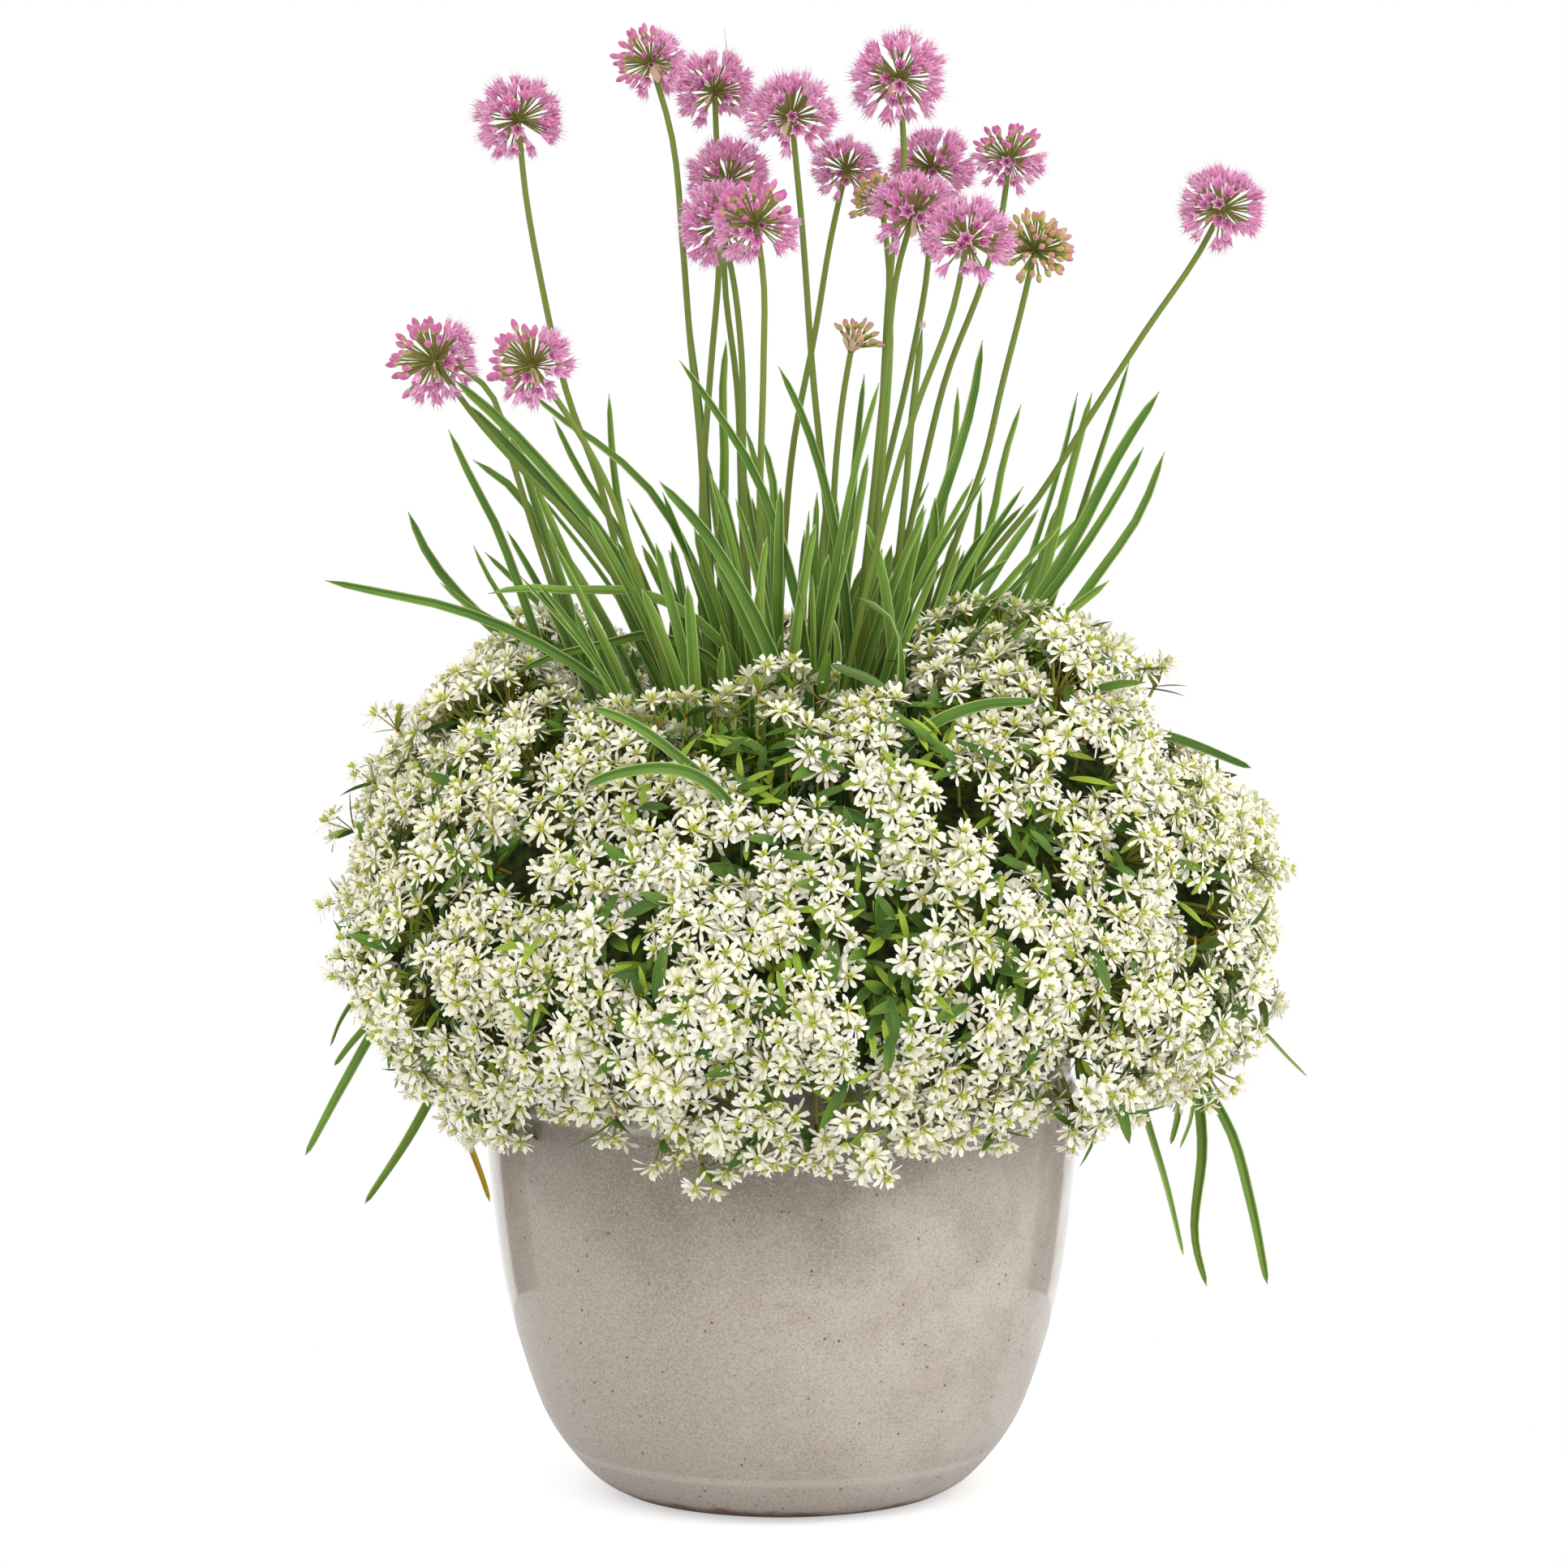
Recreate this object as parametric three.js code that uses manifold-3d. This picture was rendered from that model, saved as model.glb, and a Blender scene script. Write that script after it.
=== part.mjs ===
// Ornamental onions in flower with a mound of white spurge, growing in a glazed stoneware bowl pot.
// Millimetres, +Z up. The origin is the middle of the pot's underside, and the front faces -Y.
import * as THREE from "three";
import { mergeVertices } from "three/addons/utils/BufferGeometryUtils.js";
import Module from "manifold-3d";

const wasm = await Module();
wasm.setup();

// Pot: girth as radius and height, foot first, then the shoulder that catches the light and the collar
const POT_GIRTH = [
  [88, 0],
  [105, 10.6],
  [124, 34],
  [136, 60],
  [149, 105],
  [156, 150],
  [160, 194],
  [161, 218],
  [157, 226],
  [156, 250],
];
const POT_HEIGHT = 250;
const POT_SIDES = 26;
const POT_WALL = 9;
const POT_FLOOR = 14;
const DRAIN_HOLES = 3;
const DRAIN_RADIUS = 8;
const DRAIN_RING_RADIUS = 45;

// Soil
const SOIL_LEVEL = 222;
const SOIL_TO_POT = 0.4;
const HOLE_CLEARANCE = 0.35;

// The front view is drawn as it looks from one standpoint. A point of it is given by its side and its
// height in the upright plane through the pot's axis, and slides along its line of sight to its depth.
const EYE_DISTANCE = 3182;
const EYE_HEIGHT = 748;

// Onion flower stalks
const SCAPE_FOOT_RADIUS = 2.6;
const SCAPE_NECK_RADIUS = 1.9;
const SCAPE_SIDES = 4;
const SCAPE_ROOT = 20;
const SCAPE_FOOT_SHARE = 0.35;
const HUB_RADIUS = 4;

// Onion plants: a ring of bulbs round the middle, each with a sheath that its leaves grow out of
const BULBS = 10;
const BULB_RING_SIDE = 48;
const BULB_RING_DEPTH = 44;
const BULB_RADIUS = 9;
const BULB_ROOT = 24;
const SHEATH_HEIGHT = 28;
const SHEATH_RADIUS = 5.6;
const LEAF_FROM_BULB_AXIS = 4;
const BLADE_KEEL = 1.5;

// Clearances: between stems as they are placed, and round what one plant yields to another. Faces that
// lie within the trim of each other are merged.
const STEM_GAP = 0.6;
const CUT_GAP = 0.45;
const TRIM = 0.1;

// Spurge sprays: one for each twelfth of the mound, from the right and anticlockwise seen from above
const SPRAY_SHAPES = [
  { reach: 276, ridge: 474, skirt: 205 },
  { reach: 271, ridge: 476, skirt: 212 },
  { reach: 252, ridge: 466, skirt: 220 },
  { reach: 244, ridge: 472, skirt: 205 },
  { reach: 248, ridge: 464, skirt: 216 },
  { reach: 250, ridge: 482, skirt: 206 },
  { reach: 249, ridge: 472, skirt: 196 },
  { reach: 250, ridge: 448, skirt: 206 },
  { reach: 243, ridge: 436, skirt: 226 },
  { reach: 250, ridge: 449, skirt: 193 },
  { reach: 253, ridge: 457, skirt: 224 },
  { reach: 268, ridge: 480, skirt: 210 },
];
const SPRAY_ANGLE = (2 * Math.PI) / SPRAY_SHAPES.length;
const SPRAY_GAP_ANGLE = 0.014;
const SPRAY_HEART = { radius: 160, height: 335 };
const SPRAY_STEM_RING = 108;
const SPRAY_STEM_RADIUS = 5;
const SPRAY_STEM_ROOT = 26;
const CLUSTER_RADIUS = 35;
const CLUSTER_POINTS = 5;
const STALK_DEPTH_SHARE = 0.5;
const CLUSTER_SPACING = 66;
const LEAVES_PER_SPRAY = 1;

// Flower stalks: head radius, depth of the head, how far it is open, then side and height, hub first
const FLOWERS = [
  [25, 25, "open", [[-141, 740], [-137, 700], [-129, 654], [-115, 593], [-98, 546], [-86, 498]]],
  [21, 2, "left in bud", [[-70, 770], [-60, 736], [-53, 670], [-50, 630], [-44, 568], [-42, 533]]],
  [24, 55, "open", [[-36, 755], [-34, 659], [-38, 612], [-43, 542]]],
  [26, -15, "open", [[5, 741], [11, 678], [16, 608], [24, 524]]],
  [25, 20, "open", [[-29, 707], [-31, 659], [-24, 595], [-22, 533]]],
  [25, -28, "open", [[-33, 684], [-27, 659], [-22, 617], [-21, 560]]],
  [25, -78, "top in bud", [[-14, 684], [-10, 654], [-10, 612], [-12, 542]]],
  [20, 75, "open", [[34, 714], [26, 678], [18, 630], [6, 568], [0, 498]]],
  [27, -5, "open", [[62, 762], [65, 718], [58, 661], [54, 595], [51, 533]]],
  [24, 75, "open", [[80, 715], [77, 656], [69, 612], [51, 533]]],
  [26, -50, "open", [[70, 689], [62, 661], [56, 612], [49, 542]]],
  [26, -105, "open", [[99, 674], [91, 637], [72, 586], [53, 520]]],
  [21, 25, "top in bud", [[121, 719], [118, 694], [106, 651], [88, 604], [77, 560], [68, 520]]],
  [22, -40, "in bud", [[135, 670], [129, 643], [117, 595], [109, 560], [95, 520]]],
  [25, 10, "open", [[235, 693], [226, 675], [194, 627], [165, 582], [137, 538], [108, 502]]],
  [25, -45, "left in bud", [[-186, 611], [-167, 584], [-138, 551], [-105, 518], [-77, 474]]],
  [25, -80, "left in bud", [[-134, 608], [-116, 583], [-93, 542], [-79, 502]]],
  [13, -20, "fan", [[37, 618], [33, 595], [29, 560], [27, 524]]],
  [18, 25, "in bud", [[53, 696], [57, 661], [55, 612], [52, 560]]],
  [20, 45, "open", [[-170, 625], [-158, 597], [-146, 562], [-132, 516]]],
];

// Onion leaves: depth of the tip, width, then side and height from the tip down
const LEAVES = [
  [-64, 7, [[-246, 493], [-213, 486], [-184, 480], [-143, 465], [-94, 434]]],
  [16, 8, [[-201, 531], [-191, 509], [-171, 483], [-140, 454]]],
  [-32, 6, [[-184, 492], [-165, 477], [-134, 462], [-110, 447]]],
  [32, 7, [[-179, 575], [-167, 549], [-154, 524], [-144, 498], [-132, 463]]],
  [48, 8, [[-166, 559], [-145, 544], [-129, 520], [-116, 480]]],
  [68, 5, [[-166, 513], [-160, 500], [-143, 472]]],
  [54, 7, [[-151, 585], [-146, 575], [-129, 524]]],
  [84, 6, [[-143, 575], [-137, 551], [-121, 502]]],
  [-48, 9, [[-176, 601], [-151, 579], [-125, 551], [-90, 507], [-66, 458]]],
  [-20, 9, [[-171, 590], [-143, 562], [-116, 531], [-90, 498], [-72, 458]]],
  [-36, 9, [[-136, 595], [-121, 582], [-91, 561], [-68, 538], [-46, 498]]],
  [26, 6, [[-123, 582], [-110, 555], [-85, 516]]],
  [96, 6, [[-93, 595], [-92, 573], [-89, 542], [-77, 489]]],
  [-80, 8, [[-55, 611], [-37, 586], [-17, 555], [3, 502]]],
  [-100, 9, [[-66, 546], [-41, 518], [-26, 494], [-6, 454]]],
  [-64, 7, [[-39, 551], [-30, 524], [-20, 476]]],
  [52, 7, [[-30, 623], [-32, 595], [-31, 560], [-32, 524]]],
  [20, 7, [[-20, 576], [-15, 560], [-6, 516]]],
  [-38, 7, [[-10, 568], [-5, 546], [-4, 507]]],
  [-58, 7, [[-2, 608], [8, 588], [20, 555], [29, 516]]],
  [-88, 8, [[-68, 513], [-62, 489], [-50, 441]]],
  [-116, 9, [[-51, 490], [-49, 467], [-47, 436]]],
  [74, 6, [[-51, 643], [-48, 617], [-43, 577], [-40, 524]]],
  [-58, 7, [[-158, 486], [-143, 489], [-116, 488], [-72, 486], [-46, 472]]],
  [-48, 7, [[-144, 443], [-125, 452], [-99, 458], [-72, 464], [-50, 458]]],
  [58, 6, [[186, 612], [181, 595], [168, 555], [150, 498]]],
  [-16, 9, [[202, 595], [183, 566], [157, 516], [128, 467]]],
  [-48, 7, [[194, 565], [176, 533], [143, 485], [117, 454]]],
  [-72, 8, [[205, 562], [192, 529], [168, 494], [135, 447]]],
  [80, 6, [[158, 595], [151, 564], [139, 524], [126, 485]]],
  [36, 7, [[166, 595], [153, 546], [141, 498]]],
  [72, 6, [[128, 589], [119, 560], [113, 529], [102, 494]]],
  [-36, 9, [[107, 622], [102, 590], [86, 538], [71, 494]]],
  [84, 6, [[94, 598], [93, 577], [86, 533]]],
  [64, 8, [[44, 605], [41, 577], [37, 533]]],
  [32, 6, [[59, 633], [57, 599], [53, 551]]],
  [-68, 10, [[52, 599], [41, 560], [29, 502]]],
  [-74, 9, [[76, 534], [68, 498], [60, 458]]],
  [-26, 9, [[82, 538], [80, 498], [71, 458]]],
  [-64, 8, [[107, 542], [102, 498], [88, 458]]],
  [20, 6, [[130, 535], [113, 516], [91, 480]]],
  [-48, 7, [[121, 505], [99, 487], [80, 458]]],
  [52, 8, [[148, 535], [137, 498], [119, 458]]],
  [-134, 8, [[41, 483], [58, 472], [64, 441], [60, 408]]],
];

// Short inner leaves that fill the clump, set round it by the golden angle
const INNER_LEAVES = 17;
const GOLDEN_ANGLE = Math.PI * (3 - Math.sqrt(5));

// Onion leaves that hang or lie over the mound, grown through it: depth, width, then from the tip in
const HANGING_LEAVES = [
  [0, 6, [[-245, 241], [-240, 254], [-230, 269], [-208, 287]]],
  [-10, 6, [[-243, 230], [-234, 242], [-224, 253], [-203, 271]]],
  [5, 8, [[-259, 181], [-236, 224], [-217, 256], [-194, 282]]],
  [20, 5, [[-210, 218], [-205, 234], [-194, 256]]],
  [-30, 8, [[-227, 154], [-202, 192], [-191, 212], [-175, 246]]],
  [60, 5, [[-159, 156], [-163, 169], [-170, 188], [-185, 243]]],
  [-60, 5, [[186, 195], [180, 206], [170, 236]]],
  [-20, 7, [[218, 126], [208, 167], [198, 200], [187, 240]]],
  [10, 6, [[211, 187], [215, 205], [209, 245]]],
  [-10, 4, [[216, 185], [222, 202], [215, 245]]],
  [0, 9, [[231, 109], [225, 131], [228, 190], [224, 221], [213, 250]]],
  [20, 8, [[264, 110], [254, 158], [244, 193], [227, 223], [209, 250]]],
  [-30, 4, [[248, 233], [246, 243], [232, 270]]],
  [30, 4, [[284, 225], [273, 236], [262, 248], [230, 272]]],
  [60, 7, [[253, 393], [209, 410], [185, 415], [138, 408]]],
  [-178, 7, [[-102, 423], [-90, 419], [-59, 399], [-35, 375]]],
  [-192, 8, [[-106, 381], [-90, 387], [-46, 386], [-22, 360]]],
  [-150, 8, [[137, 427], [108, 425], [77, 412], [53, 380]]],
  [-130, 8, [[26, 447], [51, 436], [68, 404]]],
];

let seed = 11;

// A repeatable random number from 0 to 1
function chance() {
  seed = (seed * 1664525 + 1013904223) % 4294967296;
  return seed / 4294967296;
}

// Solids

function solidFrom(geometry) {
  geometry.deleteAttribute("normal");
  geometry.deleteAttribute("uv");
  const merged = mergeVertices(geometry, 1e-3);
  const triVerts = [];
  for (let i = 0; i < merged.index.count; i += 3) {
    const [a, b, c] = [merged.index.getX(i), merged.index.getX(i + 1), merged.index.getX(i + 2)];
    if (a !== b && b !== c && c !== a) {
      triVerts.push(a, b, c);
    }
  }
  const vertProperties = merged.attributes.position.array;
  return new wasm.Manifold(
    new wasm.Mesh({ numProp: 3, vertProperties, triVerts: new Uint32Array(triVerts) }),
  );
}

// A solid through rings of points, each anticlockwise seen from ahead, its ends flat or pointed
function loft(rings, tip = null, root = null) {
  const sides = rings[0].length;
  const points = rings.flat();
  const faces = [];
  if (root) {
    points.push(root);
    for (let j = 0; j < sides; j++) {
      faces.push((j + 1) % sides, j, points.length - 1);
    }
  } else {
    for (let j = 2; j < sides; j++) {
      faces.push(0, j, j - 1);
    }
  }
  for (let i = 1; i < rings.length; i++) {
    for (let j = 0; j < sides; j++) {
      const a = (i - 1) * sides + j;
      const b = (i - 1) * sides + ((j + 1) % sides);
      faces.push(a, b, b + sides, a, b + sides, a + sides);
    }
  }
  const last = (rings.length - 1) * sides;
  if (tip) {
    points.push(tip);
    for (let j = 0; j < sides; j++) {
      faces.push(last + j, last + ((j + 1) % sides), points.length - 1);
    }
  } else {
    for (let j = 2; j < sides; j++) {
      faces.push(last, last + j - 1, last + j);
    }
  }
  return solidFrom(new THREE.BufferGeometry().setFromPoints(points).setIndex(faces));
}

// A ring of points round a place on a path that runs in the direction ahead
function ringAround(centre, ahead, radius, sides) {
  const side = new THREE.Vector3(0, 1, 0).cross(ahead);
  side.normalize();
  const across = ahead.clone().cross(side);
  return Array.from({ length: sides }, (_, j) => {
    const turn = (2 * Math.PI * j) / sides;
    return centre
      .clone()
      .addScaledVector(side, radius * Math.cos(turn))
      .addScaledVector(across, radius * Math.sin(turn));
  });
}

function uprightPlug(x, y, bottom, top, bottomRadius, topRadius, sides) {
  const plug = new THREE.CylinderGeometry(topRadius, bottomRadius, top - bottom, sides);
  plug.rotateX(Math.PI / 2);
  plug.translate(x, y, (top + bottom) / 2);
  return solidFrom(plug);
}

function joined(solids) {
  return solids.reduce((whole, piece) => whole.add(piece));
}

// The largest body of a solid, without the scraps that a cut leaves
function mainBody(solid) {
  return solid.decompose().reduce((best, body) => (body.volume() > best.volume() ? body : best));
}

const group = new THREE.Group();

// A named mesh that stands at its own foot
function addPiece(name, solid, foot, material, parent) {
  const made = solid.getMesh();
  const count = made.vertProperties.length / made.numProp;
  const positions = new Float32Array(count * 3);
  for (let i = 0; i < count; i++) {
    positions.set(made.vertProperties.subarray(i * made.numProp, i * made.numProp + 3), i * 3);
  }
  const geometry = new THREE.BufferGeometry();
  geometry.setAttribute("position", new THREE.BufferAttribute(positions, 3));
  geometry.setIndex(Array.from(made.triVerts));
  geometry.translate(-foot.x, -foot.y, -foot.z);
  geometry.computeVertexNormals();
  const mesh = new THREE.Mesh(geometry, material);
  mesh.name = name;
  mesh.position.copy(foot);
  parent.add(mesh);
}

const glazedStoneware = new THREE.MeshStandardMaterial({ color: 0xb0a69e, roughness: 0.25, metalness: 0 });
const soilMaterial = new THREE.MeshStandardMaterial({ color: 0x3b2a1e, roughness: 0.95, metalness: 0 });
const onionLeaf = new THREE.MeshStandardMaterial({ color: 0x4b822d, roughness: 0.5, metalness: 0 });
const onionFlower = new THREE.MeshStandardMaterial({ color: 0xc66eb0, roughness: 0.6, metalness: 0 });
const spurge = new THREE.MeshStandardMaterial({ color: 0xdfe2c4, roughness: 0.6, metalness: 0 });

// Places and paths

function atDepth(side, height, depth) {
  const scale = 1 + depth / EYE_DISTANCE;
  return new THREE.Vector3(side * scale, depth, EYE_HEIGHT - (EYE_HEIGHT - height) * scale);
}

// The seen points of a stem or leaf, lowest first, leaning from the foot's depth to the tip's
function leaningPoints(seen, footDepth, tipDepth) {
  const tipHeight = seen[0][1];
  return seen.toReversed().map(([side, height]) => {
    const risen = (height - SOIL_LEVEL) / (tipHeight - SOIL_LEVEL);
    return atDepth(side, height, footDepth + (tipDepth - footDepth) * Math.min(risen, 1));
  });
}

function smoothPath(points) {
  return new THREE.CatmullRomCurve3(points, false, "catmullrom", 0.5);
}

// Stems and leaves already placed, as chains of lines with a half-width, so that the next keep clear
const CHAIN_LINKS = 14;
const standing = [];

function chainAlong(plant, path, halfWidthAt) {
  const points = path.getPoints(CHAIN_LINKS);
  return Array.from({ length: CHAIN_LINKS }, (_, i) => ({
    plant,
    line: new THREE.Line3(points[i], points[i + 1]),
    halfWidth: halfWidthAt((i + 0.5) / CHAIN_LINKS),
  }));
}

const nearHere = new THREE.Vector3();
const nearThere = new THREE.Vector3();

function roomAround(chain) {
  let room = Infinity;
  for (const link of chain) {
    for (const other of standing) {
      if (other.plant !== link.plant) {
        const apart = Math.sqrt(link.line.distanceSqToLine3(other.line, nearHere, nearThere));
        room = Math.min(room, apart - link.halfWidth - other.halfWidth);
      }
    }
  }
  return room;
}

// The first choice that clears what stands already, or else the roomiest
function firstClear(choices, build) {
  let best = null;
  for (const choice of choices) {
    const made = build(choice);
    const room = roomAround(made.chain);
    if (!best || room > best.room) {
      best = { ...made, room };
    }
    if (room > STEM_GAP) {
      break;
    }
  }
  standing.push(...best.chain);
  return best;
}

// Onion bulbs

const bulbs = Array.from({ length: BULBS }, (_, k) => {
  const turn = (2 * Math.PI * (k + 0.5)) / BULBS;
  return {
    plant: "bulb " + k,
    place: new THREE.Vector3(
      BULB_RING_SIDE * Math.cos(turn),
      BULB_RING_DEPTH * Math.sin(turn),
      SOIL_LEVEL,
    ),
    leaves: [],
  };
});

for (const bulb of bulbs) {
  const bottom = bulb.place.clone().setZ(SOIL_LEVEL - BULB_ROOT);
  const top = bulb.place.clone().setZ(SOIL_LEVEL + SHEATH_HEIGHT);
  standing.push({ plant: bulb.plant, line: new THREE.Line3(bottom, top), halfWidth: BULB_RADIUS });
}

// The bulb on the side of the clump that a leaf leans to
function bulbTowards(side, depth) {
  const turn = Math.atan2(depth / BULB_RING_DEPTH, side / BULB_RING_SIDE);
  const k = Math.floor(turn / ((2 * Math.PI) / BULBS));
  return bulbs[(k + BULBS) % BULBS];
}

// Onion flowers

const STEP_ASIDE = [[0, 0]];
for (const step of [6, 12, 18, 24, 30]) {
  for (let k = 0; k < 8; k++) {
    const turn = (Math.PI * k) / 4;
    STEP_ASIDE.push([step * Math.cos(turn), step * Math.sin(turn)]);
  }
}

function placeFlower([headRadius, depth, state, seen], index) {
  const lowest = seen.at(-1);
  return firstClear(STEP_ASIDE, ([aside, back]) => {
    const footX = SCAPE_FOOT_SHARE * lowest[0] + aside;
    const footY = SCAPE_FOOT_SHARE * depth + back;
    const foot = new THREE.Vector3(footX, footY, SOIL_LEVEL);
    const path = smoothPath([foot, ...leaningPoints(seen, footY, depth)]);
    const chain = chainAlong("flower " + index, path, () => SCAPE_FOOT_RADIUS);
    const hub = path.getPoint(1);
    chain.push({ plant: "flower " + index, line: new THREE.Line3(hub, hub), halfWidth: headRadius + 1 });
    return { foot, path, hub, chain, headRadius, state };
  });
}

const BUD_SIDE = {
  open: null,
  "left in bud": new THREE.Vector3(-0.9, -0.1, 0.45).normalize(),
  "top in bud": new THREE.Vector3(0, -0.2, 1).normalize(),
};

// The size of the floret that grows out of the hub in one direction
function floretSize(state, direction, headRadius) {
  if (state === "fan") {
    return direction.z > -0.2 ? { reach: headRadius, width: 2.5, cup: -2.5, budded: true } : null;
  }
  const budSide = BUD_SIDE[state];
  const inBud = state === "in bud" || (budSide && direction.dot(budSide) > 0.25);
  return inBud
    ? { reach: headRadius - 3, width: 4, cup: -4, budded: true }
    : { reach: headRadius, width: headRadius * 0.45, cup: 5, budded: false };
}

// A round head: each face of the hub grows into a floret, drawn in to a pedicel and flared to a cup
function flowerHead(hub, headRadius, state, down) {
  const ball = mergeVertices(bare(new THREE.IcosahedronGeometry(HUB_RADIUS, 0)), 1e-3);
  const corners = new THREE.Vector3(0, 1, (1 + Math.sqrt(5)) / 2).normalize();
  const turn = new THREE.Quaternion().setFromUnitVectors(corners, down);
  const spin = new THREE.Quaternion().setFromAxisAngle(down, chance() * 2 * Math.PI);
  turn.premultiply(spin);
  const points = [];
  for (let i = 0; i < ball.attributes.position.count; i++) {
    points.push(new THREE.Vector3().fromBufferAttribute(ball.attributes.position, i));
  }
  points.forEach((point) => point.applyQuaternion(turn).add(hub));
  const faces = [];
  for (let i = 0; i < ball.index.count; i += 3) {
    const face = [0, 1, 2].map((k) => ball.index.getX(i + k));
    const middle = new THREE.Vector3();
    face.forEach((k) => middle.addScaledVector(points[k], 1 / 3));
    const direction = middle.clone().sub(hub).normalize();
    const floret = floretSize(state, direction, headRadius);
    if (!floret) {
      faces.push(...face);
      continue;
    }
    const spokes = face.map((k) => points[k].clone().sub(middle).normalize());
    const pedicel = floret.budded ? [] : [[headRadius * 0.62, 0.75]];
    const rings = [...pedicel, [floret.reach, floret.width]].map(([out, width]) =>
      spokes.map((spoke) => {
        const place = hub.clone().addScaledVector(direction, out).addScaledVector(spoke, width);
        return points.push(place) - 1;
      }),
    );
    const throat = points.push(hub.clone().addScaledVector(direction, floret.reach - floret.cup)) - 1;
    let lower = face;
    for (const upper of rings) {
      for (let k = 0; k < 3; k++) {
        const next = (k + 1) % 3;
        faces.push(lower[k], lower[next], upper[next], lower[k], upper[next], upper[k]);
      }
      lower = upper;
    }
    for (let k = 0; k < 3; k++) {
      faces.push(lower[k], lower[(k + 1) % 3], throat);
    }
  }
  return solidFrom(new THREE.BufferGeometry().setFromPoints(points).setIndex(faces));
}

function bare(geometry) {
  geometry.deleteAttribute("normal");
  geometry.deleteAttribute("uv");
  return geometry;
}

const SCAPE_STATIONS = [0.3, 0.62, 1];

function scape(flower, grow = 0) {
  const up = new THREE.Vector3(0, 0, 1);
  const footRadius = SCAPE_FOOT_RADIUS + grow;
  const rings = [-SCAPE_ROOT, 1].map((rise) =>
    ringAround(flower.foot.clone().setZ(SOIL_LEVEL + rise), up, footRadius, SCAPE_SIDES),
  );
  for (const t of SCAPE_STATIONS) {
    const radius = grow + SCAPE_FOOT_RADIUS + (SCAPE_NECK_RADIUS - SCAPE_FOOT_RADIUS) * t;
    rings.push(ringAround(flower.path.getPoint(t), flower.path.getTangent(t), radius, SCAPE_SIDES));
  }
  return loft(rings);
}

function flowerSolid(flower) {
  const down = flower.path.getTangent(1).negate();
  return scape(flower).add(flowerHead(flower.hub, flower.headRadius, flower.state, down));
}

// Onion leaves

// Choices of how much further fore or aft a leaf leans, nearest first
const LEAN_STEPS = [0];
for (let step = 8; step <= 88; step += 8) {
  LEAN_STEPS.push(step, -step);
}

// A blade is narrow at its foot, widest past its middle and pointed. A grown one is a little larger all
// round, for cutting its own room out of a neighbour.
function bladeWidthAt(t, width) {
  const waist = 0.6 + 0.4 * Math.min(1, t / 0.45);
  const taper = t < 0.6 ? 1 : 1 - ((t - 0.6) / 0.4) ** 2 * 0.75;
  return width * waist * taper;
}

const LONG_BLADE = [0.22, 0.45, 0.67, 0.86];
const SHORT_BLADE = [0.3, 0.6, 0.85];

// A keeled blade along a path, its upper face turned to the direction facing
function blade({ path, width, facing, stations }, grow = 0) {
  const rings = stations.map((t) => {
    const centre = path.getPoint(t);
    const ahead = path.getTangent(t);
    const across = ahead.clone().cross(facing).normalize();
    const above = across.clone().cross(ahead).normalize();
    const edge = bladeWidthAt(t, width) / 2;
    const half = edge + (grow * (edge + Math.hypot(edge, BLADE_KEEL))) / BLADE_KEEL;
    const left = centre.clone().addScaledVector(across, -half).addScaledVector(above, grow);
    const right = centre.clone().addScaledVector(across, half).addScaledVector(above, grow);
    const keel = centre.clone().addScaledVector(above, -BLADE_KEEL - grow);
    return [left, right, keel];
  });
  const foot = path.getPoint(0).addScaledVector(path.getTangent(0), -8 * grow);
  const tip = path.getPoint(1).addScaledVector(path.getTangent(1), 8 * grow);
  return loft(rings, tip, foot);
}

// The way a blade faces, mostly to the front, turned a little to either side
function bladeFacing() {
  const turn = (chance() - 0.5) * 1.3;
  return new THREE.Vector3(Math.sin(turn), -Math.cos(turn), 0.2).normalize();
}

function sheathPath(bulb, upperPoints) {
  const start = bulb.place.clone().setZ(SOIL_LEVEL + 6);
  const leaning = upperPoints[0].clone().sub(start).setZ(0).setLength(LEAF_FROM_BULB_AXIS);
  start.add(leaning);
  const rise = start.clone().lerp(upperPoints[0], 0.2);
  rise.z = start.z + 0.35 * (upperPoints[0].z - start.z);
  return smoothPath([start, rise, ...upperPoints]);
}

function placeLeaf([depth, width, seen]) {
  const lowest = seen.at(-1);
  const facing = bladeFacing();
  const leaf = firstClear(LEAN_STEPS, (step) => {
    const tipDepth = depth + step;
    const bulb = bulbTowards(lowest[0], tipDepth * 0.8);
    const path = sheathPath(bulb, leaningPoints(seen, bulb.place.y, tipDepth));
    const chain = chainAlong(bulb.plant, path, (t) => bladeWidthAt(t, width) * 0.4);
    return { bulb, path, chain, width, facing, stations: LONG_BLADE };
  });
  leaf.bulb.leaves.push(leaf);
  return leaf;
}

function placeInnerLeaf(index) {
  const turn = index * GOLDEN_ANGLE;
  const outward = 30 + 75 * Math.sqrt(chance());
  const tipHeight = 470 + 95 * chance();
  const width = 7.5 + 2.5 * chance();
  const facing = bladeFacing();
  const leaf = firstClear(LEAN_STEPS, (step) => {
    const swung = turn + step / 60;
    const reach = new THREE.Vector3(Math.cos(swung), 0.85 * Math.sin(swung), 0);
    const bulb = bulbTowards(reach.x, reach.y);
    const tip = reach.clone().multiplyScalar(outward).setZ(tipHeight);
    const middle = reach.clone().multiplyScalar(outward * 0.62).setZ(0.45 * SOIL_LEVEL + 0.55 * tipHeight);
    const path = sheathPath(bulb, [middle, tip]);
    const chain = chainAlong(bulb.plant, path, (t) => bladeWidthAt(t, width) * 0.4);
    return { bulb, path, chain, width, facing, stations: SHORT_BLADE };
  });
  leaf.bulb.leaves.push(leaf);
  return leaf;
}

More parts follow.
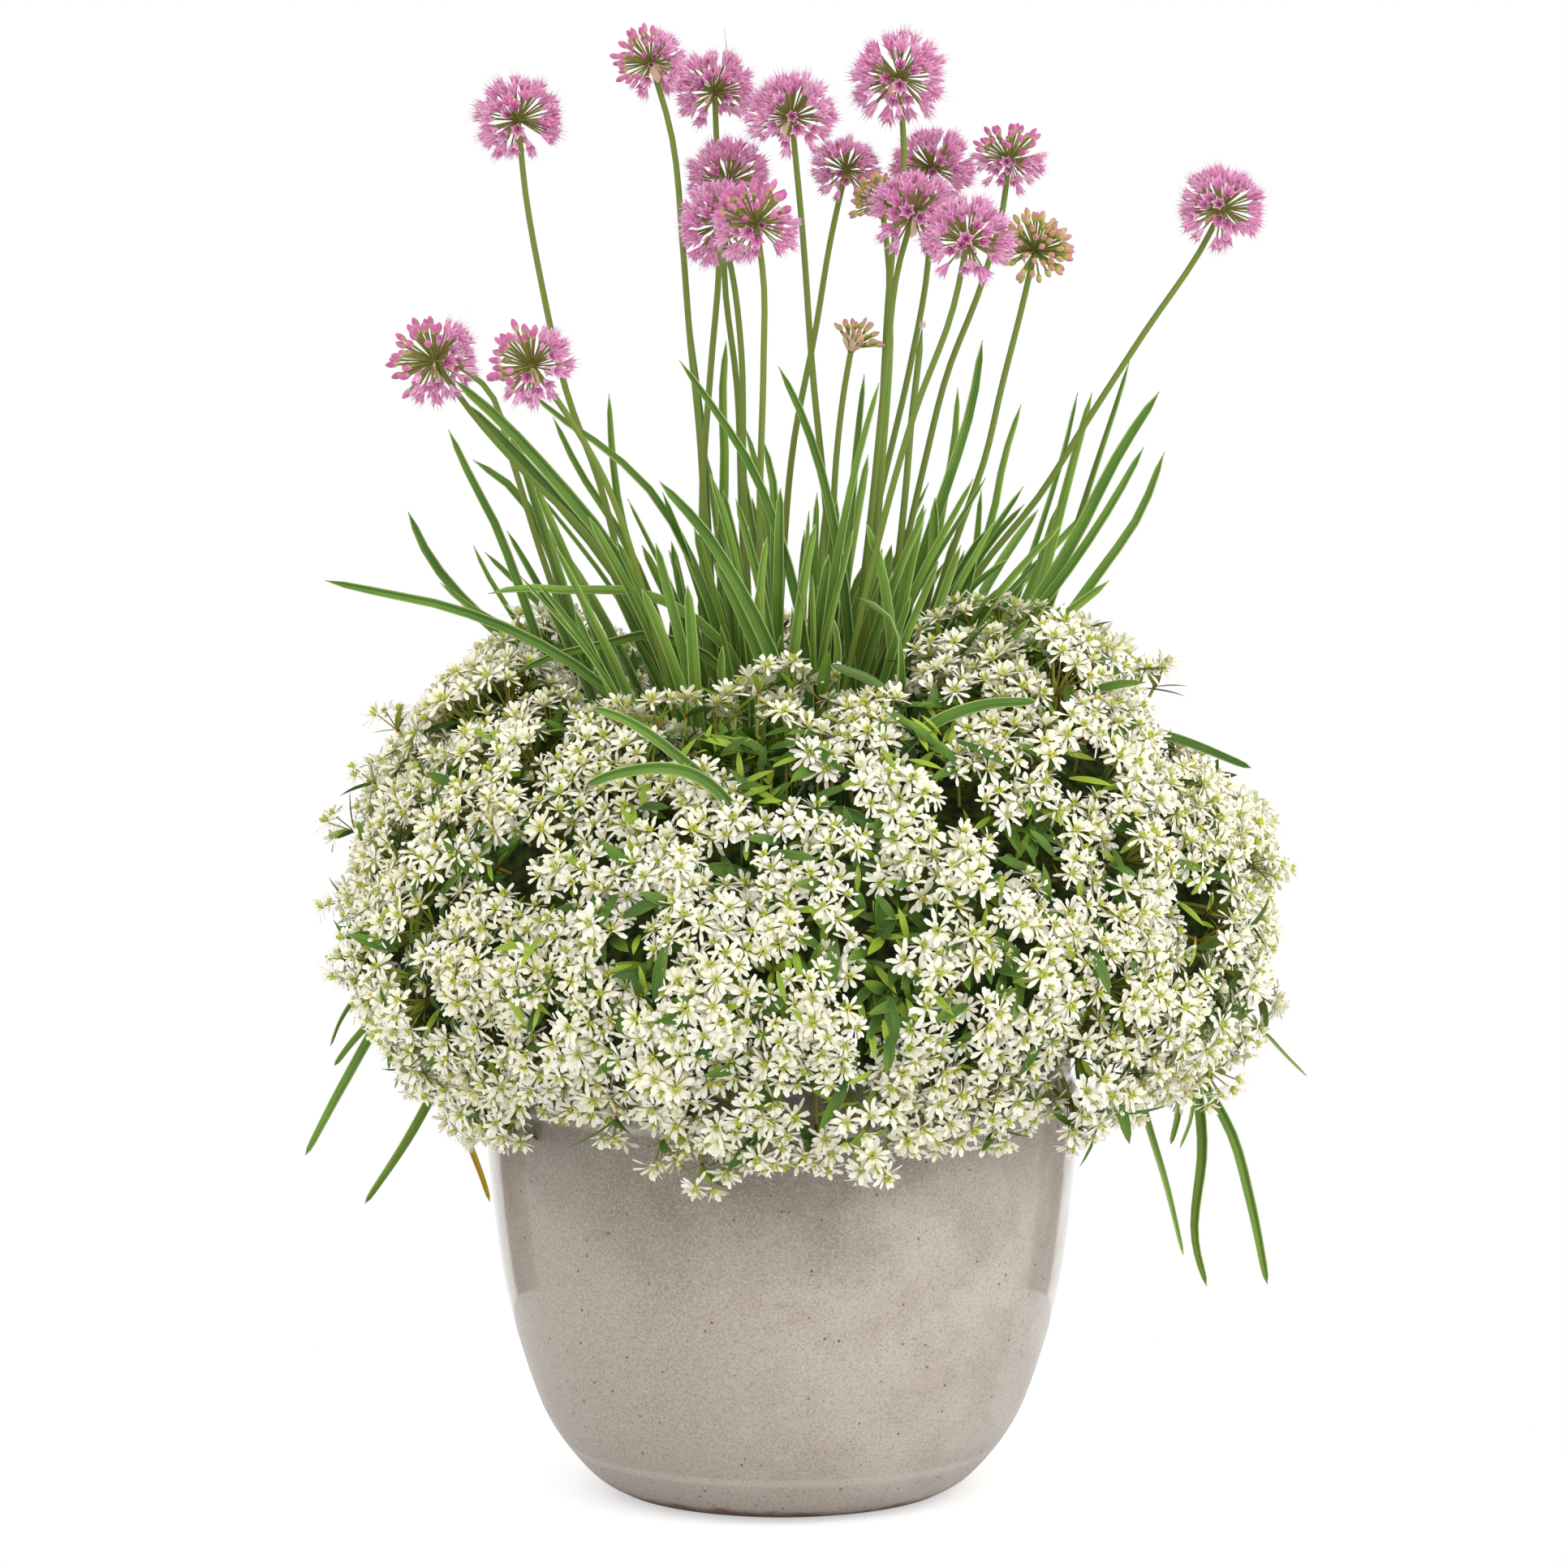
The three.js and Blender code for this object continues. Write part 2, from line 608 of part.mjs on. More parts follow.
function onionPlant(bulb, grow = 0) {
  const { x, y } = bulb.place;
  const bottom = SOIL_LEVEL - BULB_ROOT;
  const top = SOIL_LEVEL + SHEATH_HEIGHT + grow;
  const sheath = uprightPlug(x, y, bottom, top, BULB_RADIUS + grow, SHEATH_RADIUS + grow, 6);
  return joined([sheath, ...bulb.leaves.map((leaf) => blade(leaf, grow))]);
}

// Spurge

function moundAt(azimuth) {
  const turns = ((azimuth / SPRAY_ANGLE) % SPRAY_SHAPES.length + SPRAY_SHAPES.length) % SPRAY_SHAPES.length;
  const here = SPRAY_SHAPES[Math.floor(turns)];
  const next = SPRAY_SHAPES[(Math.floor(turns) + 1) % SPRAY_SHAPES.length];
  const between = turns - Math.floor(turns);
  const share = between * between * (3 - 2 * between);
  const blend = (key) => here[key] + (next[key] - here[key]) * share;
  return { reach: blend("reach"), ridge: blend("ridge"), skirt: blend("skirt") };
}

// The mound's outer surface at one azimuth, from inside the hollow that the onions stand in, over the
// ridge and down to the hem that hangs over the pot, as radius and height
function moundCurve(azimuth) {
  const { reach, ridge, skirt } = moundAt(azimuth);
  return new THREE.SplineCurve([
    new THREE.Vector2(86, ridge - 52),
    new THREE.Vector2(0.55 * reach, ridge - 3),
    new THREE.Vector2(0.78 * reach, ridge - 35),
    new THREE.Vector2(0.94 * reach, ridge - 95),
    new THREE.Vector2(reach, (ridge + skirt) / 2 - 25),
    new THREE.Vector2(0.95 * reach, skirt + 48),
    new THREE.Vector2(0.8 * reach, skirt + 6),
  ]);
}

function around(azimuth, radius, height) {
  return new THREE.Vector3(radius * Math.cos(azimuth), radius * Math.sin(azimuth), height);
}

// The leafy inside of a spray at one azimuth, as a closed outline of radius and height
function sprayOutline(azimuth, swell) {
  const { reach, ridge, skirt } = moundAt(azimuth);
  const out = (share) => 150 + (share * reach - 150) * 0.76 * swell;
  const overRim = POT_HEIGHT + 4;
  return [
    [90, SOIL_LEVEL + 2],
    [138, SOIL_LEVEL + 2],
    [140, overRim],
    [168, overRim],
    [169, skirt + 42],
    [out(0.84), skirt + 32],
    [out(1), (ridge + skirt) / 2 - 40],
    [out(0.96), ridge - 105],
    [out(0.76), ridge - 62],
    [out(0.55), ridge - 34 * (2 - swell)],
    [106, ridge - 70],
  ].map(([radius, height]) => around(azimuth, radius, height));
}

const SWELL_STATIONS = [0.9, 1.08, 0.9];

function sprayCore(index) {
  const start = (index - 0.5) * SPRAY_ANGLE + SPRAY_GAP_ANGLE / 2;
  const wide = SPRAY_ANGLE - SPRAY_GAP_ANGLE;
  const sections = SWELL_STATIONS.map((swell, i) => {
    const azimuth = start + (wide * i) / (SWELL_STATIONS.length - 1);
    return sprayOutline(azimuth, swell).toReversed();
  });
  return loft(sections);
}

// A cluster of bracts: a star with a raised eye, on a thin stalk rooted inside the spray
function bractCluster({ place, outward, root, spin }) {
  const sideways = new THREE.Vector3(0, 0, 1).cross(outward).normalize();
  const upward = outward.clone().cross(sideways);
  const spoke = (turn, radius, rise) =>
    place
      .clone()
      .addScaledVector(sideways, radius * Math.cos(spin + turn))
      .addScaledVector(upward, radius * Math.sin(spin + turn))
      .addScaledVector(outward, rise);
  const count = 2 * CLUSTER_POINTS;
  const points = [];
  for (let k = 0; k < count; k++) {
    const radius = k % 2 ? CLUSTER_RADIUS * 0.5 : CLUSTER_RADIUS;
    points.push(spoke((2 * Math.PI * k) / count, radius, k % 2 ? 0 : 2));
  }
  for (let k = 0; k < 3; k++) {
    points.push(spoke((2 * Math.PI * k) / 3, 3, -7));
  }
  points.push(spoke(0, 0, 4), root);
  const [eye, stalkEnd] = [count + 3, count + 4];
  const under = (k) => count + (Math.round((3 * k) / count) % 3);
  const faces = [];
  for (let k = 0; k < count; k++) {
    const next = (k + 1) % count;
    faces.push(k, next, eye, next, k, under(k));
    if (under(k) !== under(next)) {
      faces.push(next, under(k), under(next));
    }
  }
  for (let k = 0; k < 3; k++) {
    faces.push(count + ((k + 1) % 3), count + k, stalkEnd);
  }
  return solidFrom(new THREE.BufferGeometry().setFromPoints(points).setIndex(faces));
}

// A spurge leaf: a long diamond, ridged above and below
function spurgeLeaf(root, tip, outward, width) {
  const ahead = tip.clone().sub(root).normalize();
  const across = ahead.clone().cross(outward).normalize();
  const above = across.clone().cross(ahead);
  const middle = root.clone().lerp(tip, 0.6);
  const ring = [
    middle.clone().addScaledVector(across, -width / 2),
    middle.clone().addScaledVector(above, -0.8),
    middle.clone().addScaledVector(across, width / 2),
    middle.clone().addScaledVector(above, 0.8),
  ];
  const faces = [];
  for (let k = 0; k < 4; k++) {
    const next = (k + 1) % 4;
    faces.push(next, k, 5, k, next, 4);
  }
  return solidFrom(new THREE.BufferGeometry().setFromPoints([...ring, root, tip]).setIndex(faces));
}

// Choices of how far a cluster turns round the mound and sinks into it, to keep clear
const CLUSTER_SHIFTS = [0, 6, -6, 12, -12].flatMap((rise) =>
  [0, 0.03, -0.03, 0.06, -0.06, 0.1, -0.1].map((turn) => [turn, rise]),
);

const sprays = SPRAY_SHAPES.map((_, index) => ({ index, parts: [] }));

function sprayAt(azimuth) {
  const count = SPRAY_SHAPES.length;
  return sprays[((Math.round(azimuth / SPRAY_ANGLE) % count) + count) % count];
}

// Where a stalk that ends at a place starts, part of the way in to the middle of its spray
function rootOf(place) {
  const heart = around(Math.atan2(place.y, place.x), SPRAY_HEART.radius, SPRAY_HEART.height);
  return place.clone().lerp(heart, STALK_DEPTH_SHARE);
}

// A cluster on the mound, given by its azimuth and its share of the way along the mound's curve
function clusterAt(plant, azimuth, share, sunk, spin) {
  const curve = moundCurve(azimuth);
  const spot = curve.getPointAt(share);
  const slope = curve.getTangentAt(share);
  const outward = around(azimuth, -slope.y, slope.x);
  const place = around(azimuth, spot.x, spot.y).addScaledVector(outward, -sunk);
  const root = rootOf(place);
  const rim = Array.from({ length: 6 }, (_, k) => {
    const aside = around(azimuth + Math.PI / 2, Math.cos((Math.PI * k) / 3), 0);
    const along = around(azimuth, slope.x, slope.y);
    const edge = place.clone().addScaledVector(aside, CLUSTER_RADIUS * 0.94);
    return edge.addScaledVector(along, CLUSTER_RADIUS * 0.94 * Math.sin((Math.PI * k) / 3));
  });
  const lines = [...rim, root].map((end) => new THREE.Line3(place, end));
  return { place, outward, root, spin, chain: lines.map((line) => ({ plant, line, halfWidth: 3 })) };
}

// Rows of clusters from the hollow to the hem, each row spread over the spray's own width
function addClusters(spray) {
  const middle = spray.index * SPRAY_ANGLE;
  const length = moundCurve(middle).getLength();
  const rows = Math.round(length / CLUSTER_SPACING);
  for (let row = 0; row < rows; row++) {
    const along = (row + 0.5) / rows;
    const rowWidth = moundCurve(middle).getPointAt(along).x * SPRAY_ANGLE;
    const count = Math.max(1, Math.round(rowWidth / CLUSTER_SPACING));
    for (let k = 0; k < count; k++) {
      const azimuth = middle + ((k + 0.4 + 0.2 * chance()) / count - 0.5) * SPRAY_ANGLE;
      const share = along + ((chance() - 0.5) * 14) / length;
      const [sunk, spin] = [13 * chance(), 2 * Math.PI * chance()];
      const cluster = firstClear(CLUSTER_SHIFTS, ([turn, rise]) =>
        clusterAt("spray " + spray.index, azimuth + turn, share, sunk + rise, spin),
      );
      if (cluster.room > 0) {
        spray.parts.push(bractCluster(cluster));
      }
    }
  }
}

function addSprayLeaves(spray) {
  for (let k = 0; k < LEAVES_PER_SPRAY; k++) {
    const azimuth = (spray.index + (chance() - 0.5) * 0.5) * SPRAY_ANGLE;
    const curve = moundCurve(azimuth);
    const share = 0.2 + (0.72 * (k + chance() * 0.6)) / LEAVES_PER_SPRAY;
    const spot = curve.getPointAt(share);
    const slope = curve.getTangentAt(share);
    const outward = around(azimuth, -slope.y, slope.x);
    const place = around(azimuth, spot.x, spot.y);
    const lean = around(azimuth + Math.PI / 2, (chance() - 0.5) * 24, 0);
    const tip = place.clone().addScaledVector(outward, 4).add(lean);
    spray.parts.push(spurgeLeaf(rootOf(place), tip, lean.clone().cross(outward).normalize(), 11));
  }
}

function addHangingLeaf([depth, width, seen]) {
  const points = seen.toReversed().map(([side, height]) => atDepth(side, height, depth));
  const root = rootOf(points[0]);
  const path = smoothPath([root, ...points]);
  const facing = new THREE.Vector3(0.1, -1, 0.3).normalize();
  standing.push(...chainAlong("hanging leaf", path, () => width * 0.4));
  const leaf = blade({ path, width, facing, stations: SHORT_BLADE });
  sprayAt(Math.atan2(root.y, root.x)).parts.push(leaf);
}

function sprayFoot(index) {
  return around(index * SPRAY_ANGLE, SPRAY_STEM_RING, SOIL_LEVEL);
}

function sprayStem(index, radius, bottom, top) {
  const { x, y } = sprayFoot(index);
  return uprightPlug(x, y, bottom, top, radius, radius, 4);
}

// Pot and soil

function turned(profile) {
  const points = profile.map(([radius, height]) => new THREE.Vector2(radius, height));
  const geometry = new THREE.LatheGeometry(points, POT_SIDES);
  geometry.rotateX(Math.PI / 2);
  return solidFrom(geometry);
}

// The pot's inner wall, a wall's thickness inside its girth
const INNER_WALL = [2, 4, 6, 9].map((k) => [POT_GIRTH[k][0] - POT_WALL, POT_GIRTH[k][1]]);

function potSolid() {
  const inner = INNER_WALL.toReversed();
  const profile = [[0, 0], ...POT_GIRTH, ...inner, [INNER_WALL[0][0] - 12, POT_FLOOR], [0, POT_FLOOR]];
  let pot = turned(profile);
  for (let k = 0; k < DRAIN_HOLES; k++) {
    const place = around((2 * Math.PI * (k + 0.25)) / DRAIN_HOLES, DRAIN_RING_RADIUS, 0);
    const drill = uprightPlug(place.x, place.y, -5, POT_FLOOR + 5, DRAIN_RADIUS, DRAIN_RADIUS, 6);
    pot = pot.subtract(drill);
  }
  return pot;
}

function soilSolid(flowers) {
  const sides = INNER_WALL.filter(([, height]) => height < SOIL_LEVEL);
  const bottom = POT_FLOOR + SOIL_TO_POT;
  const profile = [
    [0, bottom],
    [INNER_WALL[0][0] - 12 - SOIL_TO_POT, bottom],
    ...sides.map(([radius, height]) => [radius - SOIL_TO_POT, height]),
    [INNER_WALL.at(-1)[0] - SOIL_TO_POT, SOIL_LEVEL],
    [0, SOIL_LEVEL],
  ];
  const above = SOIL_LEVEL + 10;
  const holes = [
    ...flowers.map(({ foot }) => {
      const bed = SOIL_LEVEL - SCAPE_ROOT - HOLE_CLEARANCE;
      const up = new THREE.Vector3(0, 0, 1);
      const radius = SCAPE_FOOT_RADIUS + HOLE_CLEARANCE * 1.3;
      return loft([bed, above].map((z) => ringAround(foot.clone().setZ(z), up, radius, SCAPE_SIDES)));
    }),
    ...bulbs.map(({ place: { x, y } }) => {
      const radius = BULB_RADIUS + HOLE_CLEARANCE * 1.3;
      return uprightPlug(x, y, SOIL_LEVEL - BULB_ROOT - HOLE_CLEARANCE, above, radius, radius, 6);
    }),
    ...sprays.map(({ index }) => {
      const bed = SOIL_LEVEL - SPRAY_STEM_ROOT - HOLE_CLEARANCE;
      return sprayStem(index, SPRAY_STEM_RADIUS + HOLE_CLEARANCE * 1.5, bed, above);
    }),
  ];
  return holes.reduce((soil, hole) => soil.subtract(hole), turned(profile));
}

// Planting

const flowers = FLOWERS.map(placeFlower);
const leaves = LEAVES.map(placeLeaf);
for (let index = 0; index < INNER_LEAVES; index++) {
  leaves.push(placeInnerLeaf(index));
}
HANGING_LEAVES.forEach(addHangingLeaf);
sprays.forEach(addClusters);
sprays.forEach(addSprayLeaves);

const origin = new THREE.Vector3(0, 0, 0);
const twoDigits = (number) => String(number).padStart(2, "0");
const onions = new THREE.Group();
const edging = new THREE.Group();

addPiece("pot", potSolid(), origin, glazedStoneware, group);
addPiece("potting_soil", soilSolid(flowers), origin, soilMaterial, group);

let onionCuts = joined(flowers.map((flower) => scape(flower, CUT_GAP)));
flowers.forEach((flower, index) => {
  addPiece("onion_flower_" + twoDigits(index + 1), flowerSolid(flower), flower.foot, onionFlower, onions);
});
bulbs.forEach((bulb, index) => {
  const plant = mainBody(onionPlant(bulb).subtract(onionCuts).simplify(TRIM));
  onionCuts = onionCuts.add(onionPlant(bulb, CUT_GAP));
  addPiece("onion_plant_" + (index + 1), plant, bulb.place, onionLeaf, onions);
});

for (const spray of sprays) {
  const stem = sprayStem(spray.index, SPRAY_STEM_RADIUS, SOIL_LEVEL - SPRAY_STEM_ROOT, SOIL_LEVEL + 20);
  const whole = joined([sprayCore(spray.index), stem, ...spray.parts]);
  const solid = mainBody(whole.subtract(onionCuts).simplify(TRIM));
  addPiece("spurge_spray_" + twoDigits(spray.index + 1), solid, sprayFoot(spray.index), spurge, edging);
}
group.add(onions, edging);

export default group;
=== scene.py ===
# Ornamental onions in flower with a mound of white spurge, growing in a glazed stoneware bowl pot.
# Lengths are in millimetres until the last step of a piece, which brings it to metres.
import bisect
import math
import random

import bmesh
import bpy
import numpy as np
from mathutils import Matrix, Vector, noise


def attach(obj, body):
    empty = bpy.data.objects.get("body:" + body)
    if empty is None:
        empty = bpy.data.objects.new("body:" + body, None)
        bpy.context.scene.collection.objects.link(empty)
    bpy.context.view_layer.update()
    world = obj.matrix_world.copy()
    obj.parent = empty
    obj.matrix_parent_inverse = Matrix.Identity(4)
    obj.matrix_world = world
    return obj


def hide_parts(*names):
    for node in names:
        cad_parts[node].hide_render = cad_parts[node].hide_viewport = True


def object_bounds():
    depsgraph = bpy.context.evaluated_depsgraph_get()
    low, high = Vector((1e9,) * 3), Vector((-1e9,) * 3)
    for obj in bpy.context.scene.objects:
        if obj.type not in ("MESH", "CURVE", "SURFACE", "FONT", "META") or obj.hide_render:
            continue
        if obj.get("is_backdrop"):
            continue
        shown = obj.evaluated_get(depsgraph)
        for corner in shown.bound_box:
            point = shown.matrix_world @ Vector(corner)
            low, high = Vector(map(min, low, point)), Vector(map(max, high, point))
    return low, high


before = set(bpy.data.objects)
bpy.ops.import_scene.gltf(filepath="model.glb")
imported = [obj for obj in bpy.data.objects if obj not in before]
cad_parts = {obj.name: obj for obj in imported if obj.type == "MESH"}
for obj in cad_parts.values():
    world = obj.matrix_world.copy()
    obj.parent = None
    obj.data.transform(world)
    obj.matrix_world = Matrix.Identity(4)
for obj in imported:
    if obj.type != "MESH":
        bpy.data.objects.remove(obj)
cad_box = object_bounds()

METRES_PER_MM = 0.001
UP = Vector((0, 0, 1))
BACKWARD = Vector((0, 1, 0))
TINY = 1e-9
MERGE_DISTANCE = 1e-3

# The share of the way past which a point counts as the end
AT_END = 0.99

# Pot: radius and height, of the base and girth up to the shoulder, then the shoulder, collar and lip
POT_BASE = [(0, 0), (84, 0)]
POT_GIRTH = [(88, 0), (105, 10.6), (124, 34), (136, 60), (149, 105), (156, 150), (160, 194), (161, 218)]
POT_COLLAR = [
    (160, 221.5), (157.4, 225.6), (156.8, 228), (156.2, 243), (155, 247.5), (152, 250), (149, 248.5),
]
POT_INSIDE = [(147, 243), (147, 226), (151, 194), (147, 150), (127, 60), (115, 34), (103, 14), (0, 14)]
POT_GIRTH_STEPS = 40
POT_STEPS = 128
DRAIN_RADIUS = 8
DRAIN_RING_RADIUS = 45
DRAIN_TURNS = (30, 150, 270)
DRILL_MIDDLE = 7
DRILL_LENGTH = 30

SOIL_LEVEL = 222

# The front view's standpoint: a seen point, given by side and height, slides along its line of sight
EYE_DISTANCE = 3182
EYE_HEIGHT = 748

# Onion flower stalks and plants
SCAPE_FOOT_RADIUS = 2.6
SCAPE_SEEN_FOOT = 2.15
SCAPE_SEEN_NECK = 1.55
SCAPE_FOOT_SHARE = 0.35
SCAPE_ROOT = 16
BULBS = 10
BULB_RING_SIDE = 48
BULB_RING_DEPTH = 44
BULB_RADIUS = 9
BULB_ROOT = 24
SHEATH_HEIGHT = 28
LEAF_FROM_BULB_AXIS = 4
LEAF_OVER_SOIL = 6
LEAF_ROOM_SHARE = 0.4
STEM_GAP = 0.6

# Spurge: the mound's reach, ridge and hem at each twelfth of a turn, from the right, anticlockwise
MOUND = [
    (276, 474, 205), (271, 472, 212), (252, 458, 220), (244, 458, 205), (248, 450, 216), (250, 464, 206),
    (249, 460, 196), (250, 444, 205), (241, 430, 218), (246, 438, 205), (250, 450, 214), (268, 480, 208),
]

# Where the mound swells or sinks further: the place, the reach around it, and by how much
SWELLS = [
    ((-245, 0, 255), 75, -30), ((-212, 0, 216), 64, -44), ((-252, 0, 325), 60, -15),
    ((-222, 0, 405), 50, -8), ((224, 0, 406), 58, -46), ((190, 0, 192), 66, -44),
    ((262, 0, 245), 45, -14), ((276, 0, 312), 60, -14), ((185, 60, 470), 48, -10),
    ((218, 0, 436), 42, -18), ((200, 90, 434), 46, -24), ((200, -90, 434), 46, -16),
]

# Sprigs that stand out of the mound or hang over the pot: side, height, depth and number of stars
SPRIGS = [
    (-142, 478, 40, 2), (-150, 462, 55, 3), (-214, 424, 10, 3), (-230, 392, 0, 3), (-243, 362, -10, 3),
    (-246, 318, 0, 2), (206, 448, 60, 3), (236, 388, 10, 3), (258, 366, 0, 3), (270, 338, 0, 3),
    (268, 262, 0, 3), (-200, 218, 0, 3), (-44, 160, -182, 4), (-66, 174, -182, 3), (-28, 168, -184, 4),
    (-54, 182, -186, 3), (-10, 176, -186, 3), (64, 186, -182, 3), (118, 182, -170, 3), (-92, 186, -180, 3),
    (-168, 190, -70, 3), (-146, 188, -96, 3), (146, 206, -112, 3), (172, 456, -6, 4), (186, 456, 10, 3),
    (196, 448, 16, 3), (182, 444, 0, 3), (-66, 428, -118, 4), (-84, 424, -112, 3), (-50, 432, -116, 3),
    (-24, 434, -116, 4), (-12, 445, -114, 4), (6, 447, -112, 4), (20, 440, -112, 4), (32, 430, -114, 4),
    (2, 430, -120, 4), (-34, 424, -118, 4), (82, 474, -72, 4), (98, 481, -66, 4), (114, 482, -60, 4),
    (130, 478, -50, 4), (92, 462, -84, 4), (110, 464, -80, 4), (78, 456, -92, 4), (128, 460, -70, 4),
    (152, 462, -40, 4), (166, 460, -10, 4),
]
SPRAY_ANGLE = 2 * math.pi / len(MOUND)
SPRAY_HEART_RADIUS = 160
SPRAY_HEART_HEIGHT = 335

# Flower stalks: head radius, depth of the head, how far it is open, then side and height, hub first
FLOWERS = [
    (25, 25, "open", [(-141, 740), (-137, 700), (-129, 654), (-115, 593), (-98, 546), (-86, 498)]),
    (21, 2, "left in bud", [(-70, 770), (-60, 736), (-53, 670), (-50, 630), (-44, 568), (-42, 533)]),
    (24, 55, "open", [(-36, 755), (-34, 659), (-38, 612), (-43, 542)]),
    (26, -15, "open", [(5, 741), (11, 678), (16, 608), (24, 524)]),
    (25, 20, "open", [(-29, 707), (-31, 659), (-24, 595), (-22, 533)]),
    (25, -28, "open", [(-33, 684), (-27, 659), (-22, 617), (-21, 560)]),
    (25, -78, "top in bud", [(-14, 684), (-10, 654), (-10, 612), (-12, 542)]),
    (20, 75, "open", [(34, 714), (26, 678), (18, 630), (6, 568), (0, 498)]),
    (27, -5, "open", [(62, 762), (65, 718), (58, 661), (54, 595), (51, 533)]),
    (24, 75, "open", [(80, 715), (77, 656), (69, 612), (51, 533)]),
    (26, -50, "open", [(70, 689), (62, 661), (56, 612), (49, 542)]),
    (26, -105, "open", [(99, 674), (91, 637), (72, 586), (53, 520)]),
    (21, 25, "top in bud", [(121, 719), (118, 694), (106, 651), (88, 604), (77, 560), (68, 520)]),
    (22, -40, "in bud", [(135, 670), (129, 643), (117, 595), (109, 560), (95, 520)]),
    (25, 10, "open", [(235, 693), (226, 675), (194, 627), (165, 582), (137, 538), (108, 502)]),
    (25, -45, "left in bud", [(-186, 611), (-167, 584), (-138, 551), (-105, 518), (-77, 474)]),
    (25, -80, "left in bud", [(-134, 608), (-116, 583), (-93, 542), (-79, 502)]),
    (13, -20, "fan", [(37, 618), (33, 595), (29, 560), (27, 524)]),
    (18, 25, "in bud", [(53, 696), (57, 661), (55, 612), (52, 560)]),
    (20, 45, "open", [(-170, 625), (-158, 597), (-146, 562), (-132, 516)]),
]

# Onion leaves: depth of the tip, width, then side and height from the tip down
LEAVES = [
    (-64, 7, [(-246, 493), (-213, 486), (-184, 480), (-143, 465), (-94, 434)]),
    (16, 8, [(-201, 531), (-191, 509), (-171, 483), (-140, 454)]),
    (-32, 6, [(-184, 492), (-165, 477), (-134, 462), (-110, 447)]),
    (32, 7, [(-179, 575), (-167, 549), (-154, 524), (-144, 498), (-132, 463)]),
    (48, 8, [(-166, 559), (-145, 544), (-129, 520), (-116, 480)]),
    (68, 5, [(-166, 513), (-160, 500), (-143, 472)]),
    (54, 7, [(-151, 585), (-146, 575), (-129, 524)]),
    (84, 6, [(-143, 575), (-137, 551), (-121, 502)]),
    (-48, 9, [(-176, 601), (-151, 579), (-125, 551), (-90, 507), (-66, 458)]),
    (-20, 9, [(-171, 590), (-143, 562), (-116, 531), (-90, 498), (-72, 458)]),
    (-36, 9, [(-136, 595), (-121, 582), (-91, 561), (-68, 538), (-46, 498)]),
    (26, 6, [(-123, 582), (-110, 555), (-85, 516)]),
    (96, 6, [(-93, 595), (-92, 573), (-89, 542), (-77, 489)]),
    (-80, 8, [(-55, 611), (-37, 586), (-17, 555), (3, 502)]),
    (-100, 9, [(-66, 546), (-41, 518), (-26, 494), (-6, 454)]),
    (-64, 7, [(-39, 551), (-30, 524), (-20, 476)]),
    (52, 7, [(-30, 623), (-32, 595), (-31, 560), (-32, 524)]),
    (20, 7, [(-20, 576), (-15, 560), (-6, 516)]),
    (-38, 7, [(-10, 568), (-5, 546), (-4, 507)]),
    (-58, 7, [(-2, 608), (8, 588), (20, 555), (29, 516)]),
    (-88, 8, [(-68, 513), (-62, 489), (-50, 441)]),
    (-116, 9, [(-51, 490), (-49, 467), (-47, 436)]),
    (74, 6, [(-51, 643), (-48, 617), (-43, 577), (-40, 524)]),
    (-58, 7, [(-158, 486), (-143, 489), (-116, 488), (-72, 486), (-46, 472)]),
    (-48, 7, [(-144, 443), (-125, 452), (-99, 458), (-72, 464), (-50, 458)]),
    (58, 6, [(186, 612), (181, 595), (168, 555), (150, 498)]),
    (-16, 9, [(202, 595), (183, 566), (157, 516), (128, 467)]),
    (-48, 7, [(194, 565), (176, 533), (143, 485), (117, 454)]),
    (-72, 8, [(205, 562), (192, 529), (168, 494), (135, 447)]),
    (80, 6, [(158, 595), (151, 564), (139, 524), (126, 485)]),
    (36, 7, [(166, 595), (153, 546), (141, 498)]),
    (72, 6, [(128, 589), (119, 560), (113, 529), (102, 494)]),
    (-36, 9, [(107, 622), (102, 590), (86, 538), (71, 494)]),
    (84, 6, [(94, 598), (93, 577), (86, 533)]),
    (64, 8, [(44, 605), (41, 577), (37, 533)]),
    (32, 6, [(59, 633), (57, 599), (53, 551)]),
    (-68, 10, [(52, 599), (41, 560), (29, 502)]),
    (-74, 9, [(76, 534), (68, 498), (60, 458)]),
    (-26, 9, [(82, 538), (80, 498), (71, 458)]),
    (-64, 8, [(107, 542), (102, 498), (88, 458)]),
    (20, 6, [(130, 535), (113, 516), (91, 480)]),
    (-48, 7, [(121, 505), (99, 487), (80, 458)]),
    (52, 8, [(148, 535), (137, 498), (119, 458)]),
    (-134, 8, [(41, 483), (58, 472), (64, 441), (60, 408)]),
]
INNER_LEAVES = 17

# Short leaves low down in front, each with its tip showing, given in the same way
SHORT_LEAVES = [
    (-86, 8, [(-36, 503), (-22, 474), (-8, 440)]),
    (-96, 8, [(-32, 458), (-33, 443), (-30, 424)]),
    (-78, 7, [(-8, 517), (-11, 498), (-12, 470)]),
    (-92, 8, [(28, 472), (30, 456), (28, 432)]),
    (-82, 8, [(45, 524), (52, 504), (58, 470)]),
    (-84, 8, [(-112, 478), (-103, 456), (-88, 426)]),
    (-94, 8, [(-76, 489), (-69, 474), (-58, 446)]),
    (-74, 8, [(18, 524), (14, 506), (9, 476)]),
    (-70, 7, [(-25, 537), (-20, 520), (-12, 490)]),
    (-76, 8, [(96, 512), (88, 490), (76, 452)]),
    (-60, 7, [(-122, 512), (-108, 484), (-90, 448)]),
    (-40, 8, [(-148, 520), (-132, 492), (-112, 452)]),
    (-30, 7, [(-134, 548), (-122, 520), (-104, 476)]),
]
CURLED_LEAF = 43
CURLED_TIP = 18

